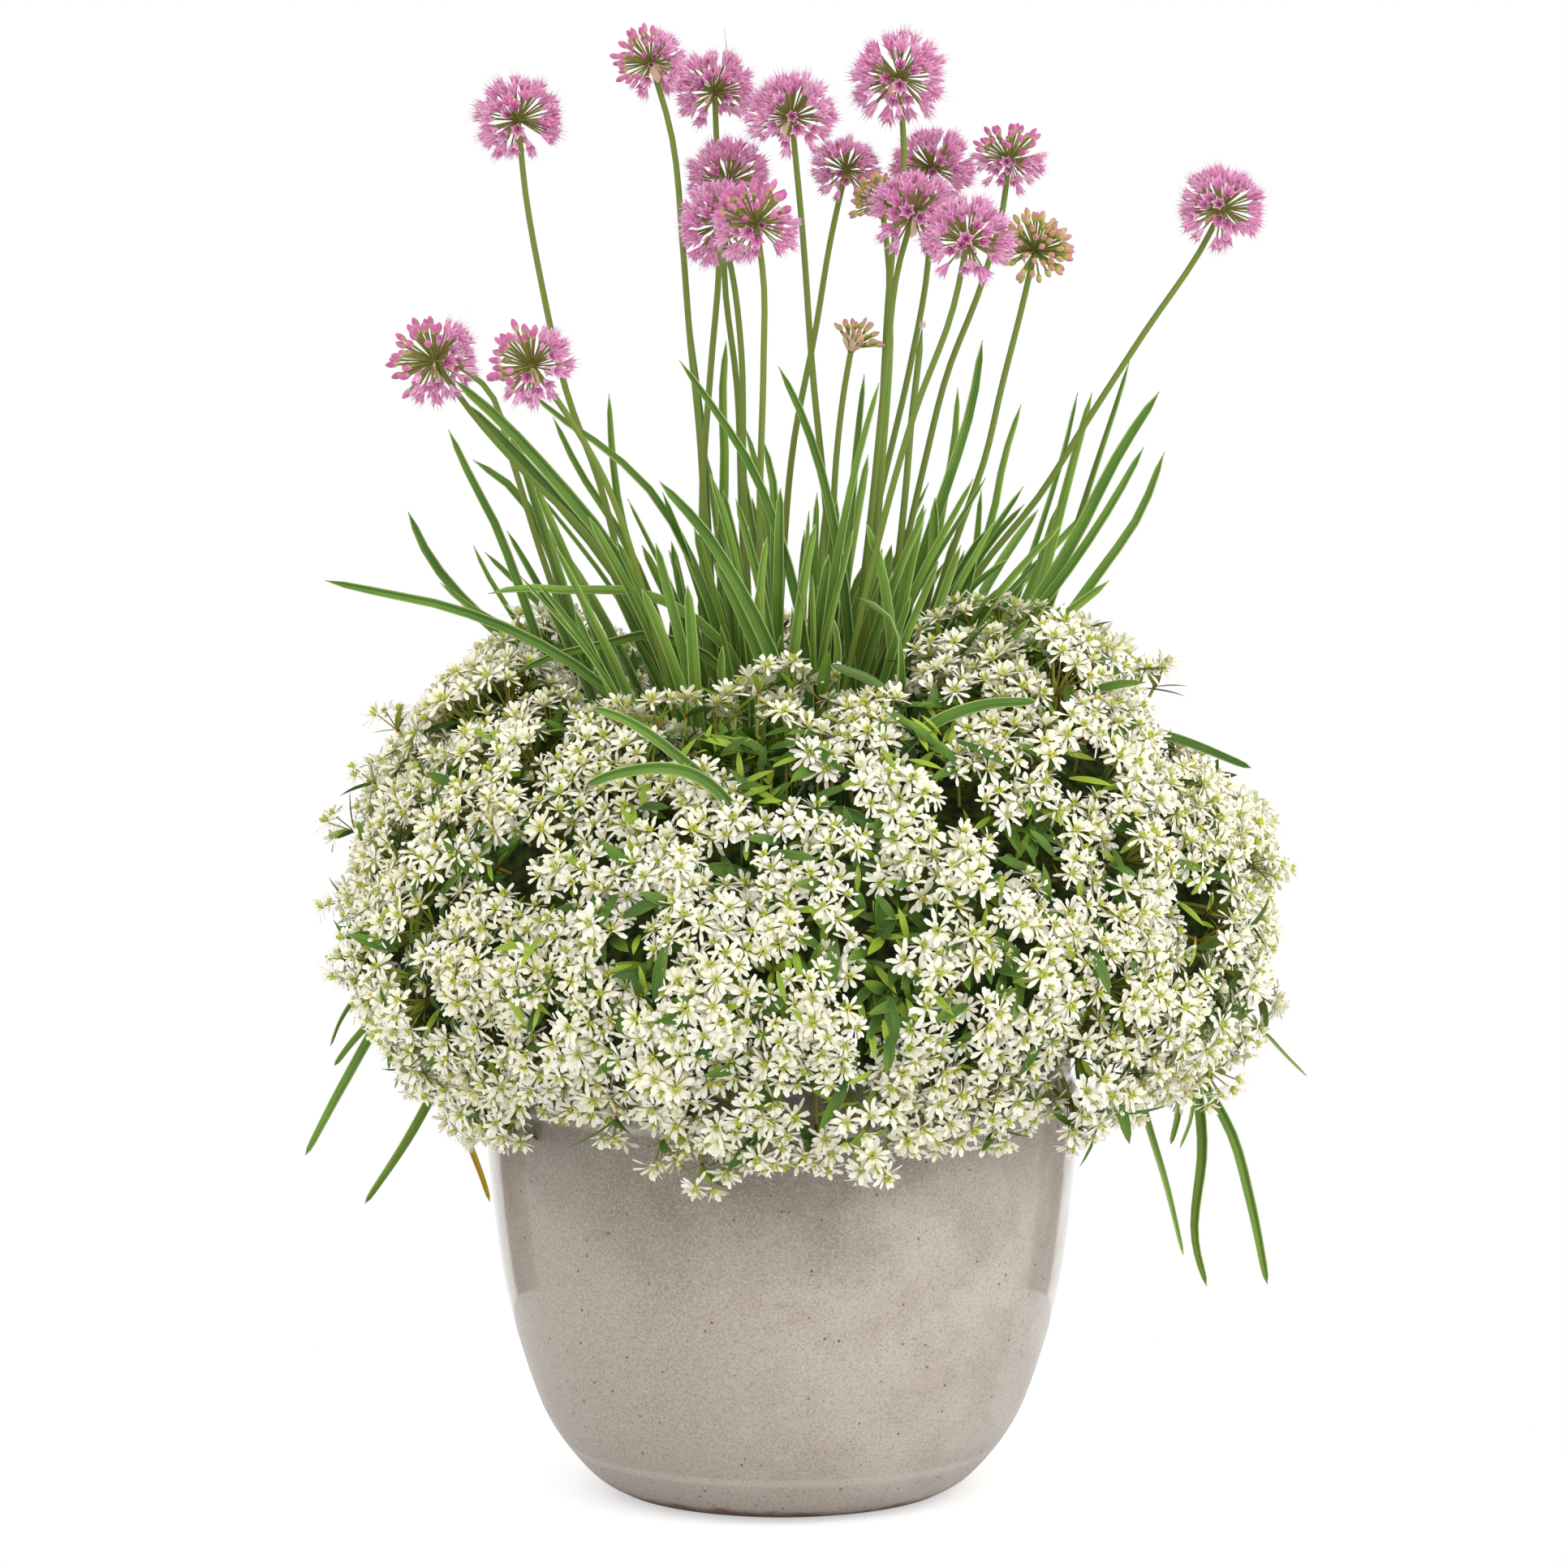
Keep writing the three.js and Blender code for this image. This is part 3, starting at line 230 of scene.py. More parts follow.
# Leaves inside the fan: the least and the spread of their reach, tip height and width
INNER_REACH = (30, 75)
INNER_HEIGHT = (470, 95)
INNER_WIDTH = (7.5, 2.5)

# Leaves that fill the fan: its waist's height, middle and half side and depth, then as for the inner ones
FAN_WAIST = 425
FAN_MIDDLE = 2
FAN_HALF_SIDE = 104
FAN_HALF_DEPTH = 62
FILLING_LEAVES = 66
FILLING_HEIGHT = (470, 130)
FILLING_WIDTH = (6, 3)
GOLDEN_ANGLE = math.pi * (3 - math.sqrt(5))

# Onion leaves that hang or lie over the mound: depth, width, then side and height from the tip in
HANGING_LEAVES = [
    (0, 6, [(-245, 241), (-240, 254), (-230, 269), (-208, 287)]),
    (-10, 6, [(-243, 230), (-234, 242), (-224, 253), (-203, 271)]),
    (5, 8, [(-259, 181), (-236, 224), (-217, 256), (-194, 282)]),
    (20, 5, [(-210, 218), (-205, 234), (-194, 256)]),
    (-30, 8, [(-227, 154), (-202, 192), (-191, 212), (-175, 246)]),
    (60, 5, [(-159, 156), (-163, 169), (-170, 188), (-185, 243)]),
    (-60, 5, [(186, 195), (180, 206), (170, 236)]),
    (-20, 7, [(218, 126), (208, 167), (198, 200), (187, 240)]),
    (10, 6, [(211, 187), (215, 205), (209, 245)]),
    (-10, 4, [(216, 185), (222, 202), (215, 245)]),
    (0, 9, [(231, 109), (225, 131), (228, 190), (224, 221), (213, 250)]),
    (20, 8, [(264, 110), (254, 158), (244, 193), (227, 223), (209, 250)]),
    (-30, 4, [(248, 233), (246, 243), (232, 270)]),
    (30, 4, [(284, 225), (273, 236), (262, 248), (230, 272)]),
    (60, 7, [(253, 393), (209, 410), (185, 415), (138, 408)]),
    (-178, 7, [(-102, 423), (-90, 419), (-59, 399), (-35, 375)]),
    (-192, 8, [(-106, 381), (-90, 387), (-46, 386), (-22, 360)]),
    (-150, 8, [(137, 427), (108, 425), (77, 412), (53, 380)]),
    (-130, 8, [(26, 447), (51, 436), (68, 404)]),
]
YELLOWED_LEAF = 5

seed = 11


def chance():
    """A repeatable random number from 0 to 1"""
    global seed
    seed = (seed * 1664525 + 1013904223) % 4294967296
    return seed / 4294967296


draw = random.Random(4)


def any_turn():
    return draw.uniform(0, 2 * math.pi)


def stray(spread, lift=0):
    """A small random step in any direction"""
    return Vector((draw.gauss(0, spread), draw.gauss(0, spread), draw.gauss(lift, spread)))


def ranged(least_and_spread, share):
    return least_and_spread[0] + least_and_spread[1] * share


# Places and paths

def at_depth(side, height, depth):
    """The place at a depth that the front view shows at a side and height"""
    scale = 1 + depth / EYE_DISTANCE
    return Vector((side * scale, depth, EYE_HEIGHT - (EYE_HEIGHT - height) * scale))


def seen_points(seen, depth):
    """The seen points of a row, all at one depth, the last one first"""
    return [at_depth(side, height, depth) for side, height in reversed(seen)]


def leaning_points(seen, foot_depth, tip_depth):
    """The seen points of a stem or leaf, lowest first, leaning from the foot's depth to the tip's"""
    full_rise = seen[0][1] - SOIL_LEVEL
    points = []
    for side, height in reversed(seen):
        risen = min((height - SOIL_LEVEL) / full_rise, 1)
        points.append(at_depth(side, height, foot_depth + (tip_depth - foot_depth) * risen))
    return points


class SmoothPath:
    """A smooth curve through points, read by the share of the way along it"""
    LOOK_AHEAD = 0.002

    def __init__(self, points):
        self.points = [2 * points[0] - points[1], *points, 2 * points[-1] - points[-2]]

    def at(self, share):
        spans = len(self.points) - 3
        k = max(min(int(share * spans), spans - 1), 0)
        way = share * spans - k
        before, start, end, after = self.points[k:k + 4]
        leaving, arriving = 0.5 * (end - before), 0.5 * (after - start)
        bend = 3 * (end - start) - 2 * leaving - arriving
        return start + way * (leaving + way * (bend + way * (2 * (start - end) + leaving + arriving)))

    def ahead(self, share):
        before, after = max(share - self.LOOK_AHEAD, 0), min(share + self.LOOK_AHEAD, 1)
        return (self.at(after) - self.at(before)).normalized()


class FairPath:
    """An even curve through points near to or far from each other, read by the share of its length"""
    LOOK_AHEAD = 0.03
    STEPS = 10

    def __init__(self, points, leaving=None):
        runs = [after - point for point, after in zip(points, points[1:])]
        slopes = [(leaving or runs[0]).normalized()]
        for run, after in zip(runs, runs[1:]):
            slopes.append((run.normalized() * after.length + after.normalized() * run.length).normalized())
        slopes.append(runs[-1].normalized())
        self.lengths, self.places = [0.0], [points[0].copy()]
        for k, run in enumerate(runs):
            first, last = slopes[k] * run.length, slopes[k + 1] * run.length
            for step in range(1, self.STEPS + 1):
                way = step / self.STEPS
                bend = 3 * run - 2 * first - last + way * (first + last - 2 * run)
                spot = points[k] + way * (first + way * bend)
                self.lengths.append(self.lengths[-1] + (spot - self.places[-1]).length)
                self.places.append(spot)

    def at(self, share):
        reached = min(max(share, 0), 1) * self.lengths[-1]
        k = min(max(bisect.bisect_left(self.lengths, reached), 1), len(self.lengths) - 1)
        way = (reached - self.lengths[k - 1]) / max(self.lengths[k] - self.lengths[k - 1], TINY)
        return self.places[k - 1].lerp(self.places[k], way)

    def ahead(self, share):
        return (self.at(share + self.LOOK_AHEAD) - self.at(share - self.LOOK_AHEAD)).normalized()


CHAIN_LINKS = 14
standing = []


def chain_along(plant, path, half_width_at):
    """A stem or leaf as short straight links, each with a half-width"""
    points = [path.at(k / CHAIN_LINKS) for k in range(CHAIN_LINKS + 1)]
    return [
        (plant, points[k], points[k + 1], half_width_at((k + 0.5) / CHAIN_LINKS)) for k in range(CHAIN_LINKS)
    ]


def dots(first, second):
    return (first * second).sum(-1)


def room_around(chain):
    """The least gap between a chain and what stands already, other than its own plant"""
    others = [link for link in standing if link[0] != chain[0][0]]
    if not others:
        return math.inf
    start, end = (np.array([link[k] for link in chain])[:, None] for k in (1, 2))
    other_start, other_end = (np.array([link[k] for link in others])[None] for k in (1, 2))
    widths = np.array([link[3] for link in chain])[:, None] + np.array([link[3] for link in others])[None]
    run, other_run, apart = end - start, other_end - other_start, start - other_start
    a, e, b = dots(run, run), dots(other_run, other_run), dots(run, other_run)
    c, f = dots(run, apart), dots(other_run, apart)
    slant = np.maximum(a * e - b * b, TINY)
    s = np.where(a > TINY, np.clip((b * f - c * e) / slant, 0, 1), 0)
    t = (b * s + f) / np.maximum(e, TINY)
    s = np.where(t < 0, np.clip(-c / np.maximum(a, TINY), 0, 1), s)
    s = np.where(t > 1, np.clip((b - c) / np.maximum(a, TINY), 0, 1), s)
    t = np.clip(t, 0, 1)
    between = apart + s[..., None] * run - t[..., None] * other_run
    return float((np.sqrt(dots(between, between)) - widths).min())


def first_clear(choices, build):
    """The first choice that clears what stands already, or else the roomiest"""
    best, best_room = None, -math.inf
    for choice in choices:
        made = build(choice)
        room = room_around(made["chain"])
        if room > best_room:
            best, best_room = made, room
        if room > STEM_GAP:
            break
    standing.extend(best["chain"])
    return best


# Where the flower stalks and the leaves stand

STEP_ASIDE = [(0, 0)] + [
    (step * math.cos(math.pi * k / 4), step * math.sin(math.pi * k / 4))
    for step in (6, 12, 18, 24, 30) for k in range(8)
]
LEAN_STEPS = [0] + [step * way for step in range(8, 89, 8) for way in (1, -1)]


def bulb_place(k):
    turn = 2 * math.pi * (k + 0.5) / BULBS
    return Vector((BULB_RING_SIDE * math.cos(turn), BULB_RING_DEPTH * math.sin(turn), SOIL_LEVEL))


def bulb_towards(side, depth):
    turn = math.atan2(depth / BULB_RING_DEPTH, side / BULB_RING_SIDE)
    return math.floor(turn / (2 * math.pi / BULBS)) % BULBS


def place_flower(index, head_radius, depth, seen):
    plant = f"flower {index}"

    def build(aside):
        foot_depth = SCAPE_FOOT_SHARE * depth + aside[1]
        foot = Vector((SCAPE_FOOT_SHARE * seen[-1][0] + aside[0], foot_depth, SOIL_LEVEL))
        points = [foot, *leaning_points(seen, foot_depth, depth)]
        hub = points[-1]
        chain = chain_along(plant, SmoothPath(points), lambda share: SCAPE_FOOT_RADIUS)
        return {"points": points, "chain": [*chain, (plant, hub, hub, head_radius + 1)]}

    return first_clear(STEP_ASIDE, build)


def strap_share(along, foot, full_from, slim_from, lost, power):
    """The share of its width that a strap leaf has: narrow at its foot, slimmer again to its tip"""
    waist = foot + (1 - foot) * min(1, along / full_from)
    taper = 1 if along < slim_from else 1 - lost * ((along - slim_from) / (1 - slim_from)) ** power
    return waist * taper


def blade_facing():
    turn = (chance() - 0.5) * 1.3
    return Vector((math.sin(turn), -math.cos(turn), 0.2)).normalized()


def standing_leaf(bulb, upper_points, width, facing):
    """A leaf that rises out of its bulb's sheath and through the points above"""
    start = bulb_place(bulb) + UP * LEAF_OVER_SOIL
    leaning = (upper_points[0] - start) * Vector((1, 1, 0))
    start += leaning.normalized() * LEAF_FROM_BULB_AXIS
    rise = start.lerp(upper_points[0], 0.2)
    rise.z = start.z + 0.35 * (upper_points[0].z - start.z)
    path = SmoothPath([start, rise, *upper_points])

    def room_at(share):
        return LEAF_ROOM_SHARE * width * strap_share(share, 0.6, 0.45, 0.6, 0.75, 2)

    chain = chain_along(f"bulb {bulb}", path, room_at)
    points = [start, *upper_points]
    return {"bulb": bulb, "points": points, "width": width, "facing": facing, "chain": chain}


def place_leaf(depth, width, seen):
    facing = blade_facing()

    def build(step):
        tip_depth = depth + step
        bulb = bulb_towards(seen[-1][0], tip_depth * 0.8)
        return standing_leaf(bulb, leaning_points(seen, bulb_place(bulb).y, tip_depth), width, facing)

    return first_clear(LEAN_STEPS, build)


def place_inner_leaf(index):
    outward = ranged(INNER_REACH, math.sqrt(chance()))
    tip_height = ranged(INNER_HEIGHT, chance())
    width = ranged(INNER_WIDTH, chance())
    facing = blade_facing()

    def build(step):
        swung = index * GOLDEN_ANGLE + step / 60
        reach = Vector((math.cos(swung), 0.85 * math.sin(swung), 0))
        bulb = bulb_towards(reach.x, reach.y)
        tip = reach * outward + UP * tip_height
        middle = reach * outward * 0.62 + UP * (0.45 * SOIL_LEVEL + 0.55 * tip_height)
        return standing_leaf(bulb, [middle, tip], width, facing)

    return first_clear(LEAN_STEPS, build)


def place_filling_leaf():
    """A leaf that fills the fan behind and between those that show most"""
    across, deep = 2 * chance() - 1, 2 * chance() - 1
    rise = 1 - 0.3 * abs(across)
    tip_height = ranged(FILLING_HEIGHT, rise * chance() ** 0.8)
    sway = 0.85 * across + 0.3 * (chance() - 0.5)
    width = ranged(FILLING_WIDTH, chance())
    facing = blade_facing()

    def build(step):
        back = 0.4 * step
        waist = Vector((FAN_MIDDLE + FAN_HALF_SIDE * across, FAN_HALF_DEPTH * deep + back, FAN_WAIST))
        risen = tip_height - FAN_WAIST
        tip = waist + Vector((risen * sway, risen * 0.5 * deep + back, risen))
        middle = waist.lerp(tip, 0.5) - Vector((0.1 * risen * sway, 0, 0))
        bulb = bulb_towards(waist.x, waist.y)
        low = bulb_place(bulb).lerp(waist, 0.55) + UP * 16
        return standing_leaf(bulb, [low, waist, middle, tip], width, facing)

    return first_clear(LEAN_STEPS, build)


for k in range(BULBS):
    low, high = bulb_place(k) - UP * BULB_ROOT, bulb_place(k) + UP * SHEATH_HEIGHT
    standing.append((f"bulb {k}", low, high, BULB_RADIUS))
flowers = [place_flower(index, row[0], row[1], row[3]) for index, row in enumerate(FLOWERS)]
leaves = [place_leaf(*row) for row in LEAVES]
leaves += [place_inner_leaf(index) for index in range(INNER_LEAVES)]
leaves += [place_filling_leaf() for _ in range(FILLING_LEAVES)]


# Parts: small meshes with how far each point is along and across it

def new_part():
    part = bmesh.new()
    for name in ("along", "across", "tone"):
        part.verts.layers.float.new(name)
    return part


def finish_faces(part, finish=0):
    """Smooths a part's faces and gives them the finish of that number"""
    for face in part.faces:
        face.smooth = True
        face.material_index = finish


def sheet(rows, columns, place, finish=0):
    """A sheet whose points are placed by their share of the way along, 0 to 1, and across, -1 to 1"""
    part = new_part()
    bmesh.ops.create_grid(part, x_segments=rows, y_segments=columns, size=0.5)
    along, across = (part.verts.layers.float[name] for name in ("along", "across"))
    for vert in part.verts:
        vert[along], vert[across] = vert.co.x + 0.5, 2 * vert.co.y
        vert.co = place(vert[along], vert[across])
    bmesh.ops.remove_doubles(part, verts=part.verts, dist=MERGE_DISTANCE)
    finish_faces(part, finish)
    return part


def tube(path, radius_at, rows, sides, finish=0):
    """A round stem along a path, closed where its radius comes to nothing"""
    def place(along, across):
        ahead = path.ahead(along)
        side = ahead.orthogonal() if abs(ahead.y) > 0.9 else BACKWARD.cross(ahead)
        side.normalize()
        turn = -math.pi * across
        spoke = side * math.cos(turn) + ahead.cross(side) * math.sin(turn)
        return path.at(along) + spoke * radius_at(along)
    return sheet(rows, sides, place, finish)


def ball(radius, around, rise, stretch=1, finish=0):
    """A small round body, stretched upwards"""
    part = new_part()
    bmesh.ops.create_uvsphere(part, u_segments=around, v_segments=rise, radius=radius)
    along, across = (part.verts.layers.float[name] for name in ("along", "across"))
    for vert in part.verts:
        vert[along] = 0.5 + 0.5 * vert.co.z / radius
        vert[across] = math.atan2(vert.co.y, vert.co.x) / math.pi
        vert.co.z *= stretch
    finish_faces(part, finish)
    return part


holder = bpy.data.meshes.new("holder")


def add_copy(whole, part, matrix=Matrix(), tone=None):
    """Adds a copy of a part to a whole, with one tone of its own if it is given"""
    copy = part.copy()
    copy.transform(matrix)
    if tone is not None:
        layer = copy.verts.layers.float["tone"]
        for vert in copy.verts:
            vert[layer] = tone
    copy.to_mesh(holder)
    copy.free()
    whole.from_mesh(holder)


def spun(turn):
    return Matrix.Rotation(turn, 4, "Z")


def turned_to(place, outward, spin, size=1.0):
    """The matrix that stands a part at a place with its own up pointing outward"""
    facing = outward.to_track_quat("Z", "Y").to_matrix().to_4x4()
    return Matrix.Translation(place) @ facing @ spun(spin) @ Matrix.Scale(size, 4)


def add_object(name, data):
    """Puts an object with its mesh, lamp or camera into the scene"""
    added = bpy.data.objects.new(name, data)
    bpy.context.scene.collection.objects.link(added)
    return added


def add_mesh_object(name, whole):
    """Puts a mesh that was made in millimetres into the scene, in metres"""
    bmesh.ops.scale(whole, vec=(METRES_PER_MM,) * 3, verts=whole.verts)
    mesh = bpy.data.meshes.new(name)
    whole.to_mesh(mesh)
    whole.free()
    return add_object(name, mesh)


def finish_piece(whole, name, nodes, finishes):
    """Makes a piece of the object that stands for CAD nodes"""
    piece = add_mesh_object(name, whole)
    for finish in finishes:
        piece.data.materials.append(finish)
    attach(piece, "root")
    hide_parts(*nodes)
    return piece


# Finishes

def srgb(red, green, blue):
    """A colour given as it looks on a screen, 0 to 255"""
    return tuple((part / 255) ** 2.2 for part in (red, green, blue)) + (1,)


def wire(tree, kind, inputs, **settings):
    """A shader node with its settings, and its inputs linked or set"""
    node = tree.nodes.new(kind)
    for key, value in settings.items():
        setattr(node, key, value)
    for key, value in inputs.items():
        if isinstance(value, bpy.types.NodeSocket):
            tree.links.new(value, node.inputs[key])
        else:
            node.inputs[key].default_value = value
    return node


def calc(tree, operation, first, second=0.0, clamp=False):
    inputs = {0: first, 1: second}
    return wire(tree, "ShaderNodeMath", inputs, operation=operation, use_clamp=clamp).outputs[0]


def span(tree, value, low, high, to_low=0.0, to_high=1.0):
    inputs = {"Value": value, "From Min": low, "From Max": high, "To Min": to_low, "To Max": to_high}
    return wire(tree, "ShaderNodeMapRange", inputs, interpolation_type="SMOOTHSTEP").outputs["Result"]


def band(tree, value, start, full, fading, end):
    """A share that rises from nothing to all and falls back to nothing"""
    return calc(tree, "MULTIPLY", span(tree, value, start, full), span(tree, value, fading, end, 1.0, 0.0))


def blend(tree, share, first, second):
    """The mix of two colours, each a socket or a colour"""
    inputs = {"Factor": share, 6: first, 7: second}
    return wire(tree, "ShaderNodeMix", inputs, data_type="RGBA").outputs[2]


def laid_over(tree, below, colour, value, low, high, to_low=0.0, to_high=1.0):
    """A colour laid over another by the share that a value gives as it goes from low to high"""
    return blend(tree, span(tree, value, low, high, to_low, to_high), below, colour)


def blend_values(tree, share, first, second):
    inputs = {"Factor": share, "A": first, "B": second}
    return wire(tree, "ShaderNodeMix", inputs, data_type="FLOAT").outputs[0]


def reading(tree, name):
    """A value that the mesh carries at its points"""
    return wire(tree, "ShaderNodeAttribute", {}, attribute_name=name).outputs["Fac"]


def cloud(tree, vector, scale, detail=2.0, roughness=0.5):
    inputs = {"Vector": vector, "Scale": scale, "Detail": detail, "Roughness": roughness}
    return wire(tree, "ShaderNodeTexNoise", inputs).outputs["Fac"]


def cells(tree, vector, scale):
    return wire(tree, "ShaderNodeTexVoronoi", {"Vector": vector, "Scale": scale}).outputs["Distance"]


def swayed(tree, value, clouded, most):
    """A value moved up or down by a cloud"""
    return calc(tree, "ADD", value, calc(tree, "MULTIPLY", calc(tree, "SUBTRACT", clouded, 0.5), most))


def object_place(tree):
    return wire(tree, "ShaderNodeTexCoord", {}).outputs["Object"]


def new_group(name, inputs, outputs):
    group = bpy.data.node_groups.new(name, "ShaderNodeTree")
    for title, kind, value in inputs:
        socket = group.interface.new_socket(title, in_out="INPUT", socket_type=kind)
        socket.default_value = value
    for title, kind in outputs:
        group.interface.new_socket(title, in_out="OUTPUT", socket_type=kind)
    return group, group.nodes.new("NodeGroupInput").outputs, group.nodes.new("NodeGroupOutput").inputs


def make_mottle():
    """Two colours in soft patches, pushed one way or the other by the copy's own tone"""
    group, given, result = new_group(
        "mottle",
        [("First", "NodeSocketColor", (1, 1, 1, 1)), ("Second", "NodeSocketColor", (0, 0, 0, 1)),
         ("Scale", "NodeSocketFloat", 100), ("Tone Share", "NodeSocketFloat", 0.5)],
        [("Color", "NodeSocketColor")],
    )
    patches = span(group, cloud(group, object_place(group), given["Scale"]), 0.3, 0.7)
    tone = calc(group, "MULTIPLY", reading(group, "tone"), given["Tone Share"])
    rest = calc(group, "MULTIPLY", patches, calc(group, "SUBTRACT", 1.0, given["Tone Share"]))
    mask = calc(group, "ADD", tone, rest, clamp=True)
    group.links.new(blend(group, mask, given["First"], given["Second"]), result["Color"])
    return group


def make_veins():
    """Fine lines that run the length of a leaf or petal"""
    group, given, result = new_group(
        "veins",
        [("Count", "NodeSocketFloat", 14), ("Wander", "NodeSocketFloat", 1.5)],
        [("Height", "NodeSocketFloat")],
    )
    crosswise = calc(group, "MULTIPLY", reading(group, "across"), given["Count"])
    lengthwise = calc(group, "MULTIPLY", reading(group, "along"), given["Wander"])
    copy = calc(group, "MULTIPLY", reading(group, "tone"), 37.0)
    place = wire(group, "ShaderNodeCombineXYZ", {"X": crosswise, "Y": lengthwise, "Z": copy}).outputs[0]
    group.links.new(cloud(group, place, 1.0, detail=1.0), result["Height"])
    return group


MOTTLE = make_mottle()
VEINS = make_veins()


def mottle(tree, first, second, scale, tone_share):
    """Two colours, each a socket or a colour, in soft patches"""
    inputs = {"First": first, "Second": second, "Scale": scale, "Tone Share": tone_share}
    return wire(tree, "ShaderNodeGroup", inputs, node_tree=MOTTLE).outputs["Color"]


def veins(tree, count, wander):
    inputs = {"Count": count, "Wander": wander}
    return wire(tree, "ShaderNodeGroup", inputs, node_tree=VEINS).outputs["Height"]


def new_finish(name, **surface):
    """A material, its node tree and its shader, with what is the same all over set on the shader"""
    material = bpy.data.materials.new(name)
    material.use_nodes = True
    shader = material.node_tree.nodes["Principled BSDF"]
    for key, value in surface.items():
        shader.inputs[key.replace("_", " ").title().replace("Ior", "IOR")].default_value = value
    return material, material.node_tree, shader


def set_bump(tree, shader, height, distance, strength=1.0):
    inputs = {"Height": height, "Distance": distance, "Strength": strength}
    tree.links.new(wire(tree, "ShaderNodeBump", inputs).outputs["Normal"], shader.inputs["Normal"])


def plain_plant_finish(name, colours, scale, tone_share, roughness=0.5):
    """A finish in two colours, mottled, for small parts of a plant"""
    material, tree, shader = new_finish(name, roughness=roughness)
    first, second = (srgb(*colour) for colour in colours)
    tree.links.new(mottle(tree, first, second, scale, tone_share), shader.inputs["Base Color"])
    return material


# How strongly a leaf shows its half darkened as painted shade, its veins, midline and rim
SHADED_HALF_SHARE = 0.5
VEIN_SHARE = 0.35
MIDLINE_SHARE = 0.12
RIM_SHARE = 0.7
RIM_FULL = 0.97
NO_RIM = 2.0


def leaf_finish(name, colours, rim_from, vein_count=14.0, roughness=0.42):
    """A leaf: colours from foot to tip, patches of a deeper one, one half darkened as painted shade, long
    veins and a pale rim and midline
    """
    material, tree, shader = new_finish(name, roughness=roughness, specular_ior_level=0.3)
    low, high, deep, rim = (srgb(*colour) for colour in colours)
    along, crosswise, tone = (reading(tree, name) for name in ("along", "across", "tone"))
    across = calc(tree, "ABSOLUTE", crosswise)
    # Painted shade: one half of each blade, picked by its tone, is darkened as if turned away from the light
    # across its fold
    fold = calc(tree, "MULTIPLY", crosswise, calc(tree, "SUBTRACT", tone, 0.5))
    lines = veins(tree, vein_count, 1.5)
    patched = mottle(tree, laid_over(tree, low, high, along, 0.05, 0.8), deep, 25.0, 0.7)
    half_shaded = laid_over(tree, patched, low, fold, -0.03, 0.03, 0.0, SHADED_HALF_SHARE)
    lined = laid_over(tree, half_shaded, high, lines, 0.42, 0.68, 0.0, VEIN_SHARE)
    midline = span(tree, across, 0.0, 0.09, MIDLINE_SHARE, 0.0)
    edge = span(tree, across, rim_from, RIM_FULL, 0.0, RIM_SHARE)
    edged = blend(tree, calc(tree, "MAXIMUM", midline, edge), lined, rim)
    tree.links.new(edged, shader.inputs["Base Color"])
    set_bump(tree, shader, lines, 0.0004, 0.5)
    return material


def petal_finish(name, colours, roughness=0.5):
    """A petal or bract: its foot, body and tip colours, with a line down its middle"""
    material, tree, shader = new_finish(name, roughness=roughness)
    foot, body, tip, line = (srgb(*colour) for colour in colours)
    along, across = reading(tree, "along"), calc(tree, "ABSOLUTE", reading(tree, "across"))
    varied = mottle(tree, laid_over(tree, foot, body, along, 0.0, 0.45), tip, 60.0, 0.8)
    upper = laid_over(tree, varied, tip, along, 0.5, 1.0, 0.0, 0.8)
    lined = laid_over(tree, upper, line, across, 0.0, 0.45, 0.7, 0.0)
    tree.links.new(lined, shader.inputs["Base Color"])
    set_bump(tree, shader, veins(tree, 6.0, 1.0), 0.0003, 0.4)
    return material


def bud_finish(name, colours, pink_from=0.6):
    """A bud: pale green at its foot, then pink, with darker seams between its petals"""
    material, tree, shader = new_finish(name, roughness=0.45)
    foot, body, shade = (srgb(*colour) for colour in colours)
    seams = calc(tree, "SINE", calc(tree, "MULTIPLY", reading(tree, "across"), 6 * math.pi))
    seamed = laid_over(tree, mottle(tree, body, shade, 500.0, 0.7), shade, seams, 0.2, 1.0, 0.0, 0.6)
    coloured = laid_over(tree, foot, seamed, reading(tree, "along"), pink_from - 0.5, pink_from)
    tree.links.new(coloured, shader.inputs["Base Color"])
    return material


# Glaze: heights in metres where the dark wash and painted shade, the pale foot ring, the painted shoulder
# highlight and the bare foot set in
DARK_WASH_AND_SHADE = (0.105, 0.19)
DARK_WASH_AND_SHADE_SIDE = 0.06
FOOT_RING = (0.0225, 0.0245, 0.0265, 0.029)
SHOULDER_HIGHLIGHT = (0.2135, 0.2175, 0.2205, 0.224)
BARE_FOOT = (0.0025, 0.0075)

# How strongly the pale foot ring, the painted shoulder highlight, the dark and pale grains, the specks and
# the iron spots show
FOOT_RING_SHARE = 0.4
SHOULDER_HIGHLIGHT_SHARE = 0.7
DARK_GRAIN_SHARE = 0.38
PALE_GRAIN_SHARE = 0.32
SPECK_SHARE = 0.4
IRON_SHARE = 0.9


